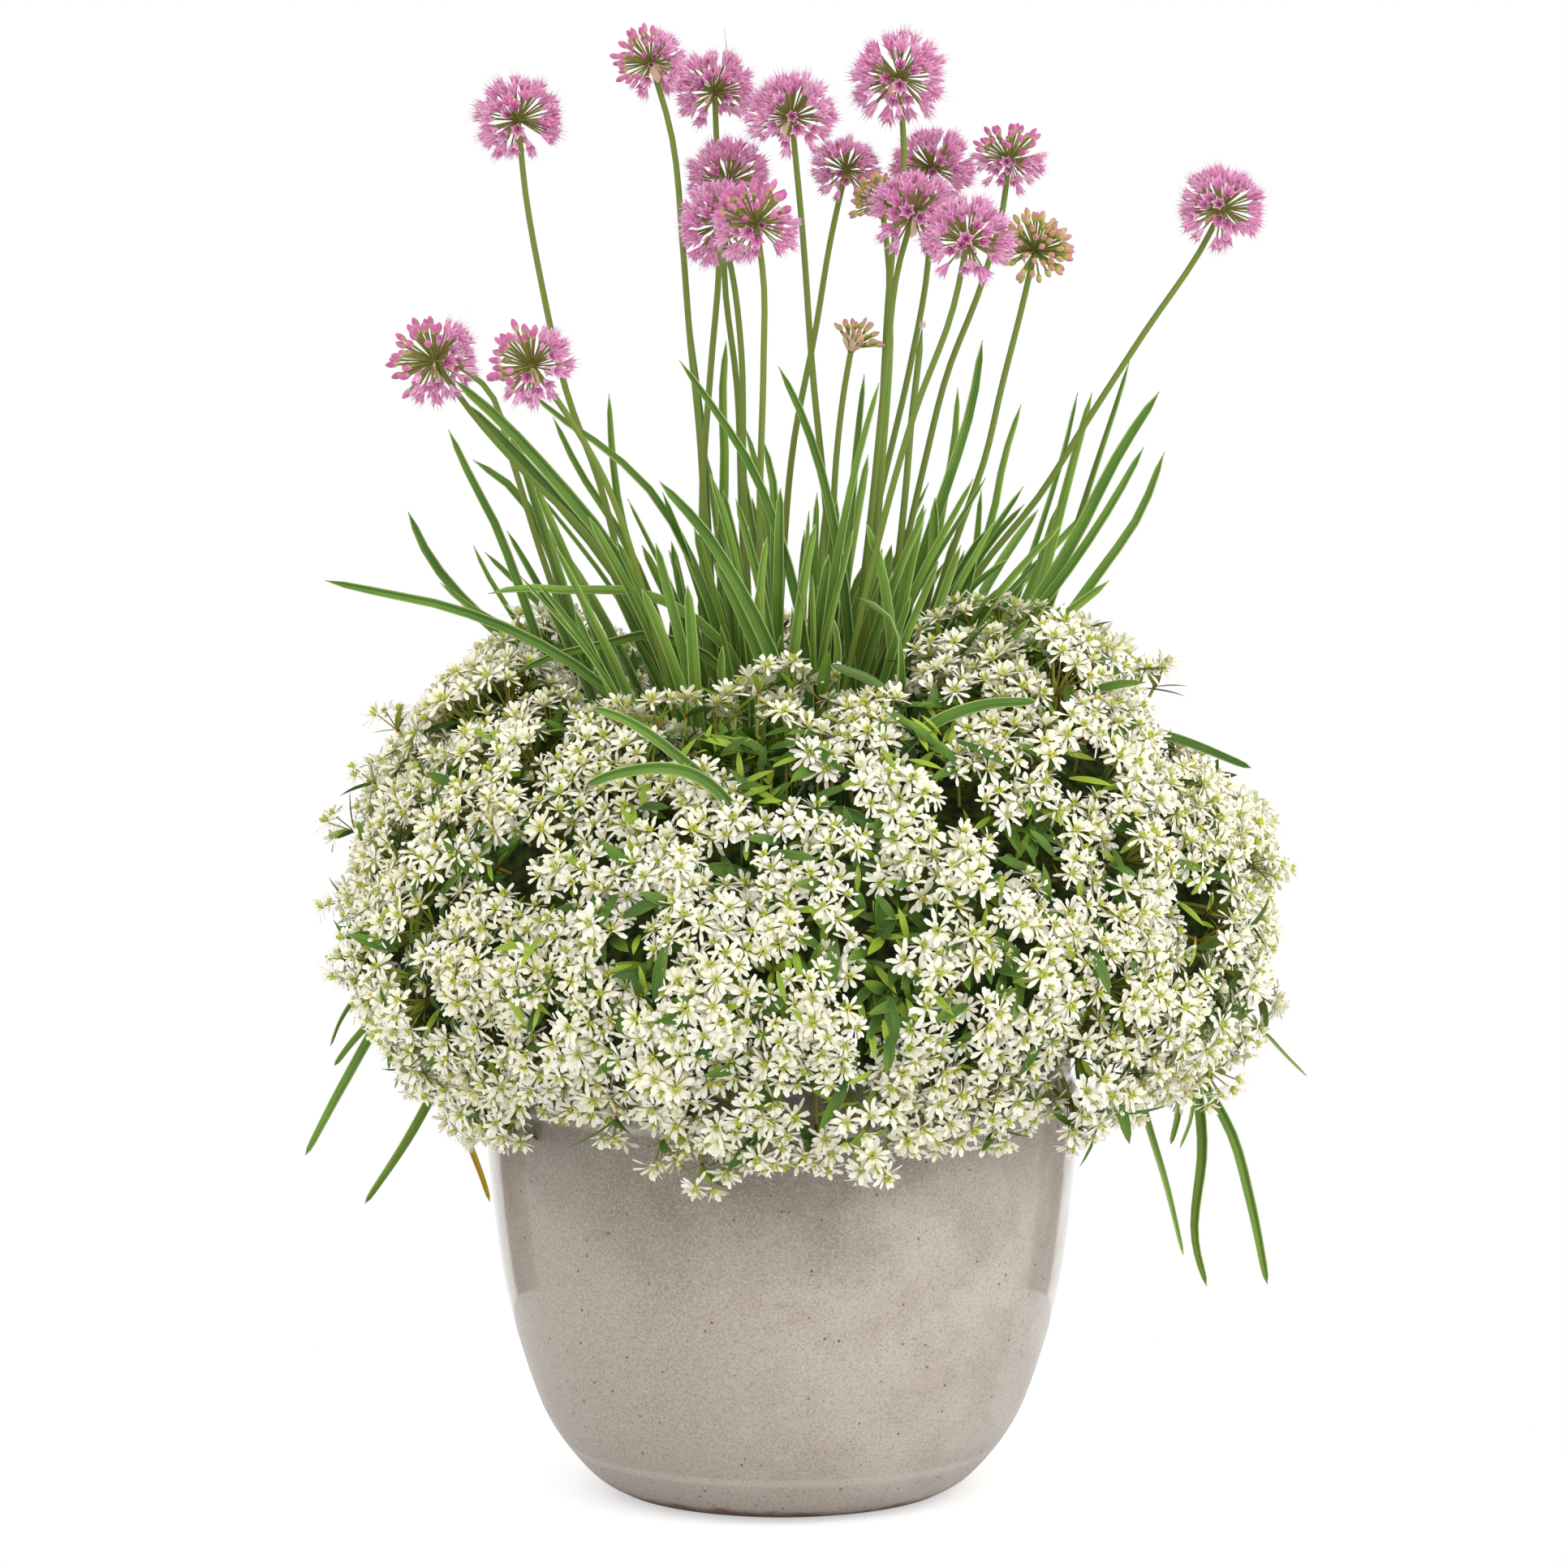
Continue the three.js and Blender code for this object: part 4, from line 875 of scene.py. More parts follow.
def glaze_finish():
    """Pale grey stoneware glaze: darker and clouded to the shoulder, partly as painted shade, lighter to the
    right as painted light, speckled, bare at the foot's edge
    """
    material, tree, shader = new_finish(
        "glazed_stoneware", coat_weight=0.75, coat_roughness=0.04, specular_ior_level=0.35,
    )
    place = object_place(tree)
    parts = wire(tree, "ShaderNodeSeparateXYZ", {"Vector": place}).outputs
    drift = cloud(tree, place, 9.0, detail=5.0, roughness=0.62)
    wash = cloud(tree, place, 28.0, detail=4.0, roughness=0.6)
    grain = cloud(tree, place, 780.0, detail=3.0, roughness=0.8)
    # The dark wash is deepest at the shoulder and left of the middle: partly the glaze's own colour, partly
    # painted shade under the mound
    aside = calc(tree, "ABSOLUTE", calc(tree, "ADD", parts["X"], DARK_WASH_AND_SHADE_SIDE))
    rise = calc(tree, "SUBTRACT", parts["Z"], calc(tree, "MULTIPLY", aside, 0.35))
    # Painted light: the glaze body is lighter to the right, the side the stronger light comes from
    lit_from_right = laid_over(tree, srgb(171, 158, 146), srgb(194, 182, 172), parts["X"], -0.1, 0.06)
    pale = laid_over(tree, lit_from_right, srgb(176, 163, 152), wash, 0.35, 0.7)
    dark = laid_over(tree, srgb(150, 138, 126), srgb(134, 123, 111), wash, 0.3, 0.7)
    washed_and_shaded = laid_over(tree, pale, dark, swayed(tree, rise, drift, 0.16), *DARK_WASH_AND_SHADE)
    grained = laid_over(tree, washed_and_shaded, srgb(108, 96, 84), grain, 0.48, 0.66, 0.0, DARK_GRAIN_SHARE)
    body = laid_over(tree, grained, srgb(218, 208, 198), grain, 0.34, 0.5, PALE_GRAIN_SHARE, 0.0)
    # The shoulder band is a painted highlight along the shoulder's top, laid on with the pale foot ring
    foot_ring = calc(tree, "MULTIPLY", band(tree, parts["Z"], *FOOT_RING), FOOT_RING_SHARE)
    shoulder = calc(tree, "MULTIPLY", band(tree, parts["Z"], *SHOULDER_HIGHLIGHT), SHOULDER_HIGHLIGHT_SHARE)
    ringed_and_highlit = blend(tree, calc(tree, "ADD", foot_ring, shoulder), body, srgb(208, 201, 192))
    specks, irons = cells(tree, place, 330.0), cells(tree, place, 95.0)
    speckled = laid_over(tree, ringed_and_highlit, srgb(104, 92, 80), specks, 0.12, 0.24, SPECK_SHARE, 0.0)
    rusty = laid_over(tree, speckled, srgb(96, 68, 48), irons, 0.04, 0.11, IRON_SHARE, 0.0)
    bare = span(tree, swayed(tree, parts["Z"], wash, 0.02), *BARE_FOOT, 1.0, 0.0)
    tree.links.new(blend(tree, bare, rusty, srgb(120, 90, 66)), shader.inputs["Base Color"])
    gloss = calc(tree, "ADD", span(tree, wash, 0.3, 0.7, 0.26, 0.38), calc(tree, "MULTIPLY", bare, 0.5))
    tree.links.new(gloss, shader.inputs["Roughness"])
    relief = calc(tree, "ADD", wash, calc(tree, "MULTIPLY", drift, 1.5))
    set_bump(tree, shader, relief, 0.0012, 0.35)
    return material


def soil_finish():
    """Dark crumbs of potting soil"""
    material, tree, shader = new_finish("potting_soil", roughness=0.95)
    place = object_place(tree)
    crumbs, damp = cells(tree, place, 420.0), cloud(tree, place, 60.0, detail=6.0)
    earth = laid_over(tree, srgb(62, 44, 32), srgb(34, 25, 19), damp, 0.35, 0.65)
    crumbly = laid_over(tree, earth, srgb(84, 62, 44), crumbs, 0.0, 0.5)
    tree.links.new(crumbly, shader.inputs["Base Color"])
    set_bump(tree, shader, calc(tree, "ADD", crumbs, damp), 0.003)
    return material


# Leaves: colours of the foot, the tip, the patches and the rim; petals: foot, body, tip and line
scape_green = leaf_finish(
    "scape_green", [(62, 92, 26), (112, 128, 40), (58, 82, 24), (126, 146, 62)], NO_RIM, 10.0,
)
pedicel_olive = plain_plant_finish("pedicel_olive", [(146, 154, 66), (134, 120, 66)], 400.0, 0.7)
hub_olive = plain_plant_finish("hub_olive", [(116, 118, 46), (92, 78, 42)], 500.0, 0.2)
onion_tepal = petal_finish(
    "onion_tepal", [(216, 132, 184), (240, 140, 200), (255, 214, 238), (200, 84, 152)],
)
stamen_pink = plain_plant_finish("stamen_pink", [(250, 190, 226), (206, 116, 170)], 900.0, 0.5)
onion_bud = bud_finish("onion_bud", [(216, 206, 146), (232, 132, 186), (184, 80, 144)])
young_bud = bud_finish("young_bud", [(200, 206, 100), (230, 168, 156), (190, 112, 128)], 0.8)
papery_spathe = plain_plant_finish("papery_spathe", [(232, 214, 178), (216, 178, 150)], 120.0, 0.5, 0.7)
onion_leaf = leaf_finish(
    "onion_leaf", [(46, 80, 34), (146, 184, 72), (60, 104, 40), (190, 214, 118)], 0.85,
)
leaf_underside = leaf_finish(
    "leaf_underside", [(70, 100, 46), (142, 164, 84), (92, 122, 66), (184, 202, 130)], 0.9, 26.0, 0.6,
)
yellowed_leaf = leaf_finish(
    "yellowed_leaf", [(196, 168, 44), (226, 186, 44), (206, 164, 40), (228, 206, 110)], 0.9,
)
sheath_pale = plain_plant_finish("sheath_pale", [(150, 170, 100), (196, 200, 150)], 50.0, 0.3)
spurge_bract = petal_finish(
    "spurge_bract", [(210, 210, 78), (255, 250, 219), (255, 254, 247), (252, 243, 190)], 0.6,
)
spurge_centre = plain_plant_finish("spurge_centre", [(212, 216, 72), (166, 178, 46)], 700.0, 0.5)
spurge_leaf = leaf_finish(
    "spurge_leaf", [(66, 102, 36), (112, 146, 50), (54, 84, 34), (146, 168, 84)], 0.95, 5.0, 0.45,
)
bright_spurge_leaf = leaf_finish(
    "bright_spurge_leaf", [(140, 168, 46), (180, 200, 68), (116, 150, 42), (198, 212, 108)], 0.95, 5.0,
)
spurge_stem = plain_plant_finish("spurge_stem", [(168, 184, 62), (146, 122, 52)], 120.0, 0.7)
spurge_joint = plain_plant_finish("spurge_joint", [(172, 58, 46), (126, 56, 40)], 300.0, 0.6)
leafy_shade = plain_plant_finish("leafy_shade", [(36, 46, 18), (84, 100, 34)], 170.0, 0.0, 0.9)


# Pot

def make_pot():
    """The thrown pot: its outline spun round, with the drain holes drilled"""
    girth = SmoothPath([Vector((radius, 0, height)) for radius, height in POT_GIRTH])
    steps = (girth.at((k + 1) / POT_GIRTH_STEPS) for k in range(POT_GIRTH_STEPS))
    outline = POT_BASE + [(step.x, step.z) for step in steps] + POT_COLLAR + POT_INSIDE
    pot = bmesh.new()
    corners = [pot.verts.new((radius, 0, height)) for radius, height in outline]
    edges = [pot.edges.new(pair) for pair in zip(corners, corners[1:])]
    bmesh.ops.spin(
        pot, geom=corners + edges, axis=UP, angle=2 * math.pi, steps=POT_STEPS, use_merge=True,
    )
    bmesh.ops.remove_doubles(pot, verts=pot.verts, dist=MERGE_DISTANCE)
    bmesh.ops.recalc_face_normals(pot, faces=pot.faces)
    finish_faces(pot)
    piece = finish_piece(pot, "pot_glazed", ["pot"], [glaze_finish()])
    drills = bmesh.new()
    for turn in DRAIN_TURNS:
        place = spun(math.radians(turn)) @ Matrix.Translation((DRAIN_RING_RADIUS, 0, DRILL_MIDDLE))
        bmesh.ops.create_cone(
            drills, cap_ends=True, segments=24, radius1=DRAIN_RADIUS, radius2=DRAIN_RADIUS,
            depth=DRILL_LENGTH, matrix=place,
        )
    drill = add_mesh_object("drills", drills)
    cut = piece.modifiers.new("drain_holes", "BOOLEAN")
    cut.operation = "DIFFERENCE"
    cut.solver = "EXACT"
    cut.object = drill
    bpy.context.view_layer.update()
    drilled = piece.evaluated_get(bpy.context.evaluated_depsgraph_get())
    piece.data = bpy.data.meshes.new_from_object(drilled)
    piece.modifiers.clear()
    bpy.data.objects.remove(drill)


make_pot()
potting_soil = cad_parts["potting_soil"]
for material_slot in potting_soil.material_slots:
    material_slot.material = soil_finish()


# Onion flowers

SCAPE, PEDICEL, TEPAL, STAMEN, BUD, SPATHE, HUB, YOUNG_BUD = range(8)
FLOWER_FINISHES = [
    scape_green, pedicel_olive, onion_tepal, stamen_pink, onion_bud, papery_spathe, hub_olive, young_bud,
]
HEAD_COUNTS = {"open": 94, "fan": 132, "in bud": 126}
FAN_LEAN = Vector((0.25, -0.1, 0))

# Florets and buds of a head of the usual size, measured outward from its hub
HEAD_SIZE = 23.5
FLORET_STALK = 15.6
TEPAL_FOOT = 15
TEPAL_LENGTH = 8.6
TEPAL_HALF_WIDTHS = (0.55, 1.45, 1.25, 0)
STAMEN_FOOT = 16
STAMEN_TIP = 26
BUD_STALK = 15.4
BUD_RADIUS = 1.65
BUD_STRETCH = 1.75
BUD_MIDDLE = 17.6

# How long the stalks are and how wide the buds, as shares, and how far round a head its bud side reaches
OPEN_LENGTHS = (0.88, 1.04)
HALF_OPEN_LENGTHS = (0.9, 1.0)
BUD_LENGTHS = (0.92, 1.26)
BUD_WIDTH = 1.12
FAN_BUD_LENGTH = 1.36
FAN_BUD_WIDTH = 0.78
BUDS_FROM = 0.25
HALF_OPEN_BEFORE = 0.2

# Where a head has gaps, from the level below which it has no floret
FAN_LOWEST = 0.42
HEAD_LOWEST = -0.93
MIDDLE_FROM = 0.72
MIDDLE_GAPS = 0.42

# A young head that the photo hides behind another: its side, height and radius
HIDDEN_HEAD = 19
HIDDEN_HEAD_PLACE = (-177, 612)
HIDDEN_HEAD_RADIUS = 14
BUD_SIDES = {
    "left in bud": Vector((-0.9, -0.1, 0.45)).normalized(),
    "top in bud": Vector((0, -0.2, 1)).normalized(),
}
YOUNG_HEADS = (13, 17, 18)
WISP_HEAD = 2
WITHERED_WISP = [(-31, 790), (-29.5, 776), (-28, 760)]


def stalk(start, end, foot, tip, sides, finish, rows=1):
    """A straight stalk whose radius goes from its foot's to its tip's"""
    path = SmoothPath([Vector(start), Vector(end)])
    return tube(path, lambda along: foot + (tip - foot) * along, rows, sides, finish)


def make_tepal(openness):
    """One narrow pointed petal of a bell that opens upwards"""
    def place(along, across):
        half = TEPAL_HALF_WIDTHS[round(3 * along)]
        spread = 0.6 * math.sin(math.pi / 2 * along) + 0.4 * along ** 3
        out = 0.5 + openness * spread - 0.4 * half * abs(across)
        return Vector((out, -across * half, TEPAL_FOOT + TEPAL_LENGTH * along - 0.2 * openness * along ** 2))
    return sheet(3, 2, place, TEPAL)


def make_floret(openness):
    """A bell of six petals and its stamens, on its own stalk, standing up from the hub"""
    floret = new_part()
    add_copy(floret, stalk((0, 0, 1), (0, 0, FLORET_STALK), 0.4, 0.6, 3, PEDICEL))
    tepal = make_tepal(openness)
    stamen = stalk((0.4, 0, STAMEN_FOOT), (0.5 + 0.6 * openness, 0, STAMEN_TIP), 0.3, 0, 3, STAMEN)
    for k in range(6):
        add_copy(floret, tepal, spun(math.radians(60 * k)))
        add_copy(floret, stamen, spun(math.radians(60 * k + 30)))
    return floret


def make_bud(finish):
    """A closed bud on its stalk"""
    bud = new_part()
    add_copy(bud, stalk((0, 0, 1), (0, 0, BUD_STALK), 0.4, 0.7, 3, PEDICEL))
    body = ball(BUD_RADIUS, 6, 5, BUD_STRETCH, finish)
    for vert in body.verts:
        if vert.co.z > 0:
            pinch = 1 - 0.06 * vert.co.z ** 1.6
            vert.co.x, vert.co.y = vert.co.x * pinch, vert.co.y * pinch
    add_copy(bud, body, Matrix.Translation((0, 0, BUD_MIDDLE)))
    return bud


def make_spathe(length, width):
    """A papery flap, hollow to one side, that springs from the foot of a head"""
    def place(along, across):
        spread = width * math.sin(math.pi * (0.12 + 0.88 * along)) ** 0.8 if along < AT_END else 0
        out = 2.2 + 2.5 * math.sin(math.pi * along) + 0.22 * length * along
        return Vector((out, spread * across, -length * along - 0.8 * abs(across)))
    return sheet(6, 3, place, SPATHE)


OPEN_FLORETS = [make_floret(openness) for openness in (3.9, 3.2, 2.5)]
HALF_OPEN_FLORET = make_floret(1.4)
CLOSED_BUD = make_bud(BUD)
GREEN_BUD = make_bud(YOUNG_BUD)


def head_directions(count):
    """Directions spread evenly over a round head, the topmost first"""
    for k in range(count):
        height = 1 - (2 * k + 1) / count
        ring = math.sqrt(1 - height * height)
        turn = GOLDEN_ANGLE * k
        yield Vector((ring * math.cos(turn), ring * math.sin(turn), height))


def is_gap(direction, up, state):
    """Whether a head has no floret there: few hang below its hub, and its middle lets the stalks show"""
    level = direction.dot(up)
    if state == "fan":
        return level < FAN_LOWEST
    hanging = min(max(-level, 0), 0.7) * 0.9
    middle = MIDDLE_GAPS if abs(direction.y) > MIDDLE_FROM else 0
    return level < HEAD_LOWEST or draw.random() < max(hanging, middle)


def add_head(whole, hub, radius, state, up, bud):
    """A round head of stalked florets, some of them still in bud, round the end of its scape"""
    tilt = up.to_track_quat("Z", "Y").to_matrix()
    size = radius / HEAD_SIZE
    bud_side = BUD_SIDES.get(state)
    for direction in head_directions(HEAD_COUNTS.get(state, HEAD_COUNTS["open"])):
        direction = (tilt @ direction + stray(0.09)).normalized()
        if is_gap(direction, up, state):
            continue
        bud_share = direction.dot(bud_side) - BUDS_FROM + draw.gauss(0, 0.08) if bud_side else -1
        if state in ("fan", "in bud") or bud_share > 0:
            part, length = bud, draw.uniform(*BUD_LENGTHS)
        elif bud_share > -HALF_OPEN_BEFORE:
            part, length = HALF_OPEN_FLORET, draw.uniform(*HALF_OPEN_LENGTHS)
        else:
            part, length = draw.choice(OPEN_FLORETS), draw.uniform(*OPEN_LENGTHS)
        width = BUD_WIDTH * size if part is bud else size
        if state == "fan":
            length *= FAN_BUD_LENGTH
            width = FAN_BUD_WIDTH
        stretched = Matrix.Diagonal((width, width, size * length, 1))
        add_copy(whole, part, turned_to(hub, direction, any_turn()) @ stretched, draw.random())


def add_spathe(whole, hub, up, state):
    """What is left of the papery sheath that the head was wrapped in"""
    if state == "fan":
        for turn, size in ((-0.5, 12), (0.1, 10), (0.8, 8)):
            add_copy(whole, make_spathe(size, 3.4), turned_to(hub - up * 1.5, -up, turn), 0.9)
        return
    for _ in range(2 if state == "left in bud" else draw.choice((0, 1, 1))):
        flap = make_spathe(draw.uniform(7, 12), draw.uniform(2.2, 3.4))
        add_copy(whole, flap, turned_to(hub, up, any_turn()), draw.random())


def make_flower(index):
    """A scape with its head"""
    radius, depth, state, _ = FLOWERS[index]
    points = flowers[index]["points"]
    if index == HIDDEN_HEAD:
        points, radius = [*points[:-1], at_depth(*HIDDEN_HEAD_PLACE, depth)], HIDDEN_HEAD_RADIUS
    path = FairPath(points, leaving=UP)
    whole = new_part()
    foot, hub = points[0], points[-1]
    root = SmoothPath([foot - UP * SCAPE_ROOT, foot + UP * 0.5])
    add_copy(whole, tube(root, lambda along: SCAPE_SEEN_FOOT if along > 0.1 else 0, 5, 8, SCAPE), tone=0.3)
    narrowing = SCAPE_SEEN_FOOT - SCAPE_SEEN_NECK
    scape = tube(path, lambda along: SCAPE_SEEN_FOOT - narrowing * along, 40, 8, SCAPE)
    add_copy(whole, scape, tone=draw.random())
    up = path.ahead(1) if state != "fan" else (path.ahead(1) + FAN_LEAN).normalized()
    add_copy(whole, ball(2.5, 10, 7, 1.1, HUB), Matrix.Translation(hub), 0.4)
    add_head(whole, hub, radius, state, up, GREEN_BUD if index in YOUNG_HEADS else CLOSED_BUD)
    add_spathe(whole, hub, up, state)
    if index == WISP_HEAD:
        wisp = FairPath(seen_points(WITHERED_WISP, hub.y))
        add_copy(whole, tube(wisp, lambda along: 0.45 * (1 - along) + 0.1, 6, 4, SPATHE), tone=0.9)
    number = f"{index + 1:02d}"
    name = f"onion_flower_dressed_{number}"
    finish_piece(whole, name, [f"onion_flower_{number}"], FLOWER_FINISHES)


for index in range(len(FLOWERS)):
    make_flower(index)


# Onion leaves

BLADE, SHEATH, BLADE_UNDERSIDE, CUT_SCAPE, FRAY = range(5)
LEAF_FINISHES = [onion_leaf, sheath_pale, leaf_underside, scape_green, papery_spathe]
CUT_STALK = [(75, 630), (72, 603), (69, 577), (67, 551), (58, 470), (48, 400)]
CUT_STALK_DEPTH = -34

# How wide the blades are, as shares of the widths in the tables, and how deep and thick, in mm
BLADE_SHARE = 0.82
HANGING_SHARE = 0.7
LYING_SHARE = 0.8
CHANNEL_SHARE = 0.42
BLADE_THICKNESS = 0.55
BLUNT_FROM = 0.945

# The curled leaf turns its underside up just before its tip
CURL_TWIST = 2.8
CURL_LATE = 11


def companion(leaf):
    """A narrower and lower leaf beside one of the fan"""
    sway = Vector((draw.uniform(-16, 16), draw.uniform(-12, 12), -draw.uniform(8, 60)))
    foot, tip = leaf["points"][0], leaf["points"][-1]
    points = [point + sway * ((point.z - foot.z) / (tip.z - foot.z)) ** 1.5 for point in leaf["points"]]
    return {**leaf, "points": points, "width": leaf["width"] * draw.uniform(0.7, 0.95)}


def seen_half_width(along, width):
    """Half of a blade's width: narrow at its foot, even along its length and blunt at its tip"""
    blunt = math.sqrt(max(1 - (max(along - BLUNT_FROM, 0) / (1 - BLUNT_FROM)) ** 2, 0.003))
    return width / 2 * strap_share(along, 0.66, 0.4, 0.66, 0.34, 1.5) * blunt


def make_blade(path, width, facing, rows, twist, finish=BLADE, underside=BLADE_UNDERSIDE, reach=1, late=1):
    """A strap leaf along a path, channelled above and keeled below, with a blunt tip"""
    def place(share, across):
        along = 1 - (1 - share) ** 1.25
        ahead = path.ahead(along * reach)
        turned = Matrix.Rotation(twist * along ** late, 3, ahead) @ facing
        side = ahead.cross(turned).normalized()
        above = side.cross(ahead)
        half = seen_half_width(along, width)
        sink = CHANNEL_SHARE * half * (1 - across * across)
        return path.at(along * reach) + side * (half * across) - above * sink
    blade = sheet(rows, 4, place, underside)
    upper = bmesh.ops.solidify(blade, geom=blade.faces[:], thickness=BLADE_THICKNESS)["geom"]
    for face in upper:
        if isinstance(face, bmesh.types.BMFace):
            face.material_index = finish
    return blade


def place_short_leaf(depth, width, seen):
    bulb = bulb_towards(seen[-1][0], depth)
    points = leaning_points(seen, bulb_place(bulb).y, depth)
    return standing_leaf(bulb, points, width, Vector((draw.uniform(-0.4, 0.4), -1, 0.2)).normalized())


short_leaves = [place_short_leaf(*row) for row in SHORT_LEAVES]
short_leaves += [companion(leaf) for number, leaf in enumerate(leaves[len(LEAVES):]) if number % 3]


def add_cut_stalk(whole):
    """A flower stalk that was cut off, with a frayed pale end"""
    points = seen_points(CUT_STALK, CUT_STALK_DEPTH)
    foot = bulb_place(bulb_towards(points[0].x, points[0].y)) + UP * LEAF_OVER_SOIL
    path = FairPath([foot, *points], leaving=UP)
    scape = tube(path, lambda along: 2.2 - 0.5 * along if along < AT_END else 0, 30, 8, CUT_SCAPE)
    add_copy(whole, scape, tone=0.9)
    fray = stalk((1, 0, -1), (1.4, 0, 3.2), 0.9, 0, 4, FRAY)
    for k in range(4):
        add_copy(whole, fray, Matrix.Translation(points[-1]) @ spun(math.pi / 2 * k), 0.2)


def make_onion_plant(bulb):
    """The leaves of one bulb, out of its sheath"""
    whole = new_part()
    foot = bulb_place(bulb)
    neck = SmoothPath([foot - UP * (BULB_ROOT - 1), foot - UP * 4, foot + UP * SHEATH_HEIGHT])
    sheath = tube(neck, lambda along: 0 if along in (0, 1) else BULB_RADIUS - 3.6 * along, 12, 12, SHEATH)
    add_copy(whole, sheath, tone=0.4)
    for number, leaf in enumerate(leaves + short_leaves):
        if leaf["bulb"] == bulb:
            path = FairPath(leaf["points"], leaving=leaf["points"][1] - leaf["points"][0] + UP * 200)
            reach = draw.uniform(0.8, 0.94) if len(LEAVES) <= number < len(leaves) else 1
            width, twist, late = leaf["width"] * BLADE_SHARE, draw.uniform(-0.7, 0.7), 1
            if number == CURLED_LEAF:
                width, twist, late = leaf["width"], CURL_TWIST, CURL_LATE
            blade = make_blade(path, width, leaf["facing"], 18, twist, reach=reach, late=late)
            add_copy(whole, blade, tone=draw.random())
    if bulb == bulb_towards(CUT_STALK[-1][0], CUT_STALK_DEPTH):
        add_cut_stalk(whole)
    name = f"onion_plant_{bulb + 1}"
    finish_piece(whole, f"onion_leaves_{bulb + 1}", [name], LEAF_FINISHES)


for bulb in range(BULBS):
    make_onion_plant(bulb)


# Spurge

# Stars: the number of bracts, and how far the inner and the outer ones lean, in degrees
STAR_KINDS = [
    (13, 20, 96), (14, 26, 104), (15, 14, 92), (15, 22, 100), (16, 18, 108), (9, 6, 58), (12, 10, 78),
]
BRACT_HALF_WIDTHS = (0.24, 0.52, 1.0, 0.56)
LEAF_SIZES = ((19, 5.5), (24, 6.8), (29, 6.2))
BRIGHT_LEAF_SIZES = ((13, 3), (18, 3.8), (23, 4.6))

# How far apart clumps and leaves stand and how often a place is tried, thinner inside the full radius
CLUMP_SPACING = 20.5
LEAF_SPACING = 10.5
LEAFY_SPACING = 5
CLUMP_TRIES = 700
LEAF_TRIES = 520
LEAFY_TRIES = 1200
FULL_RADIUS = 250

# The lumps of the mound: their height, and the depth of a hollow from which it shows leaves
LUMP_HEIGHT = 9
LEAFY_BELOW = -1.15

# The trunk of a spray: its distance from the pot's axis, radius, root and top
TRUNK_RING_RADIUS = 112
TRUNK_RADIUS = 5
TRUNK_ROOT = 24
TRUNK_TOP = 22
BRACT, CENTRE, LEAF, STEM, JOINT, SHADE, STRAP, YELLOW, UNDERSIDE, BRIGHT_LEAF = range(10)
SPURGE_FINISHES = [
    spurge_bract, spurge_centre, spurge_leaf, spurge_stem, spurge_joint, leafy_shade, onion_leaf,
    yellowed_leaf, leaf_underside, bright_spurge_leaf,
]

# Where the front shows leaves and shade instead of flowers: side, height and radius
LEAFY_PLACES = [
    (-11, 399, 17), (-30, 420, 13), (88, 413, 20), (-162, 337, 8), (-121, 374, 9), (-81, 342, 12),
    (136, 361, 13), (24, 375, 11), (-146, 290, 7), (-80, 280, 11), (-138, 259, 8), (71, 268, 17),
    (3, 279, 11), (122, 282, 13), (62, 238, 14), (28, 310, 10), (-176, 396, 8), (188, 330, 8),
    (46, 344, 12), (-24, 336, 10), (98, 318, 10), (-40, 262, 11), (2, 322, 9), (64, 312, 10),
]


def around(azimuth, radius, height):
    return Vector((radius * math.cos(azimuth), radius * math.sin(azimuth), height))


def mound_at(azimuth):
    """The mound's reach, ridge and hem at an azimuth, eased between the twelfths"""
    turns = azimuth / SPRAY_ANGLE % len(MOUND)
    here, after = MOUND[int(turns)], MOUND[(int(turns) + 1) % len(MOUND)]
    between = turns - int(turns)
    share = between * between * (3 - 2 * between)
    return [low + (high - low) * share for low, high in zip(here, after)]


def mound_curve(azimuth):
    """The mound's surface at one azimuth, over the ridge and down to the hem"""
    reach, ridge, hem = mound_at(azimuth)
    sections = [
        (86, ridge - 52), (0.55 * reach, ridge - 3), (0.78 * reach, ridge - 35), (0.94 * reach, ridge - 95),
        (reach, (ridge + hem) / 2 - 25), (0.95 * reach, hem + 48), (0.8 * reach, hem + 6),
    ]
    return SmoothPath([around(azimuth, radius, height) for radius, height in sections])


def swell_at(place):
    """How far out the mound is pushed at a place, in mm"""
    push = 0
    for spot, reach, amount in SWELLS:
        off = place - Vector(spot)
        push += amount * max(0, 1 - (off.x ** 2 + (0.5 * off.y) ** 2 + off.z ** 2) / reach ** 2)
    return push


def on_mound(azimuth, share):
    """A place on the mound and the way it faces"""
    curve = mound_curve(azimuth)
    outward = curve.ahead(share).cross(around(azimuth + math.pi / 2, 1, 0)).normalized()
    place = curve.at(share)
    return place + outward * swell_at(place), outward


def root_of(place):
    """Where a stalk that ends at a place comes from"""
    heart = around(math.atan2(place.y, place.x), SPRAY_HEART_RADIUS, SPRAY_HEART_HEIGHT)
    return place.lerp(heart, 0.5)


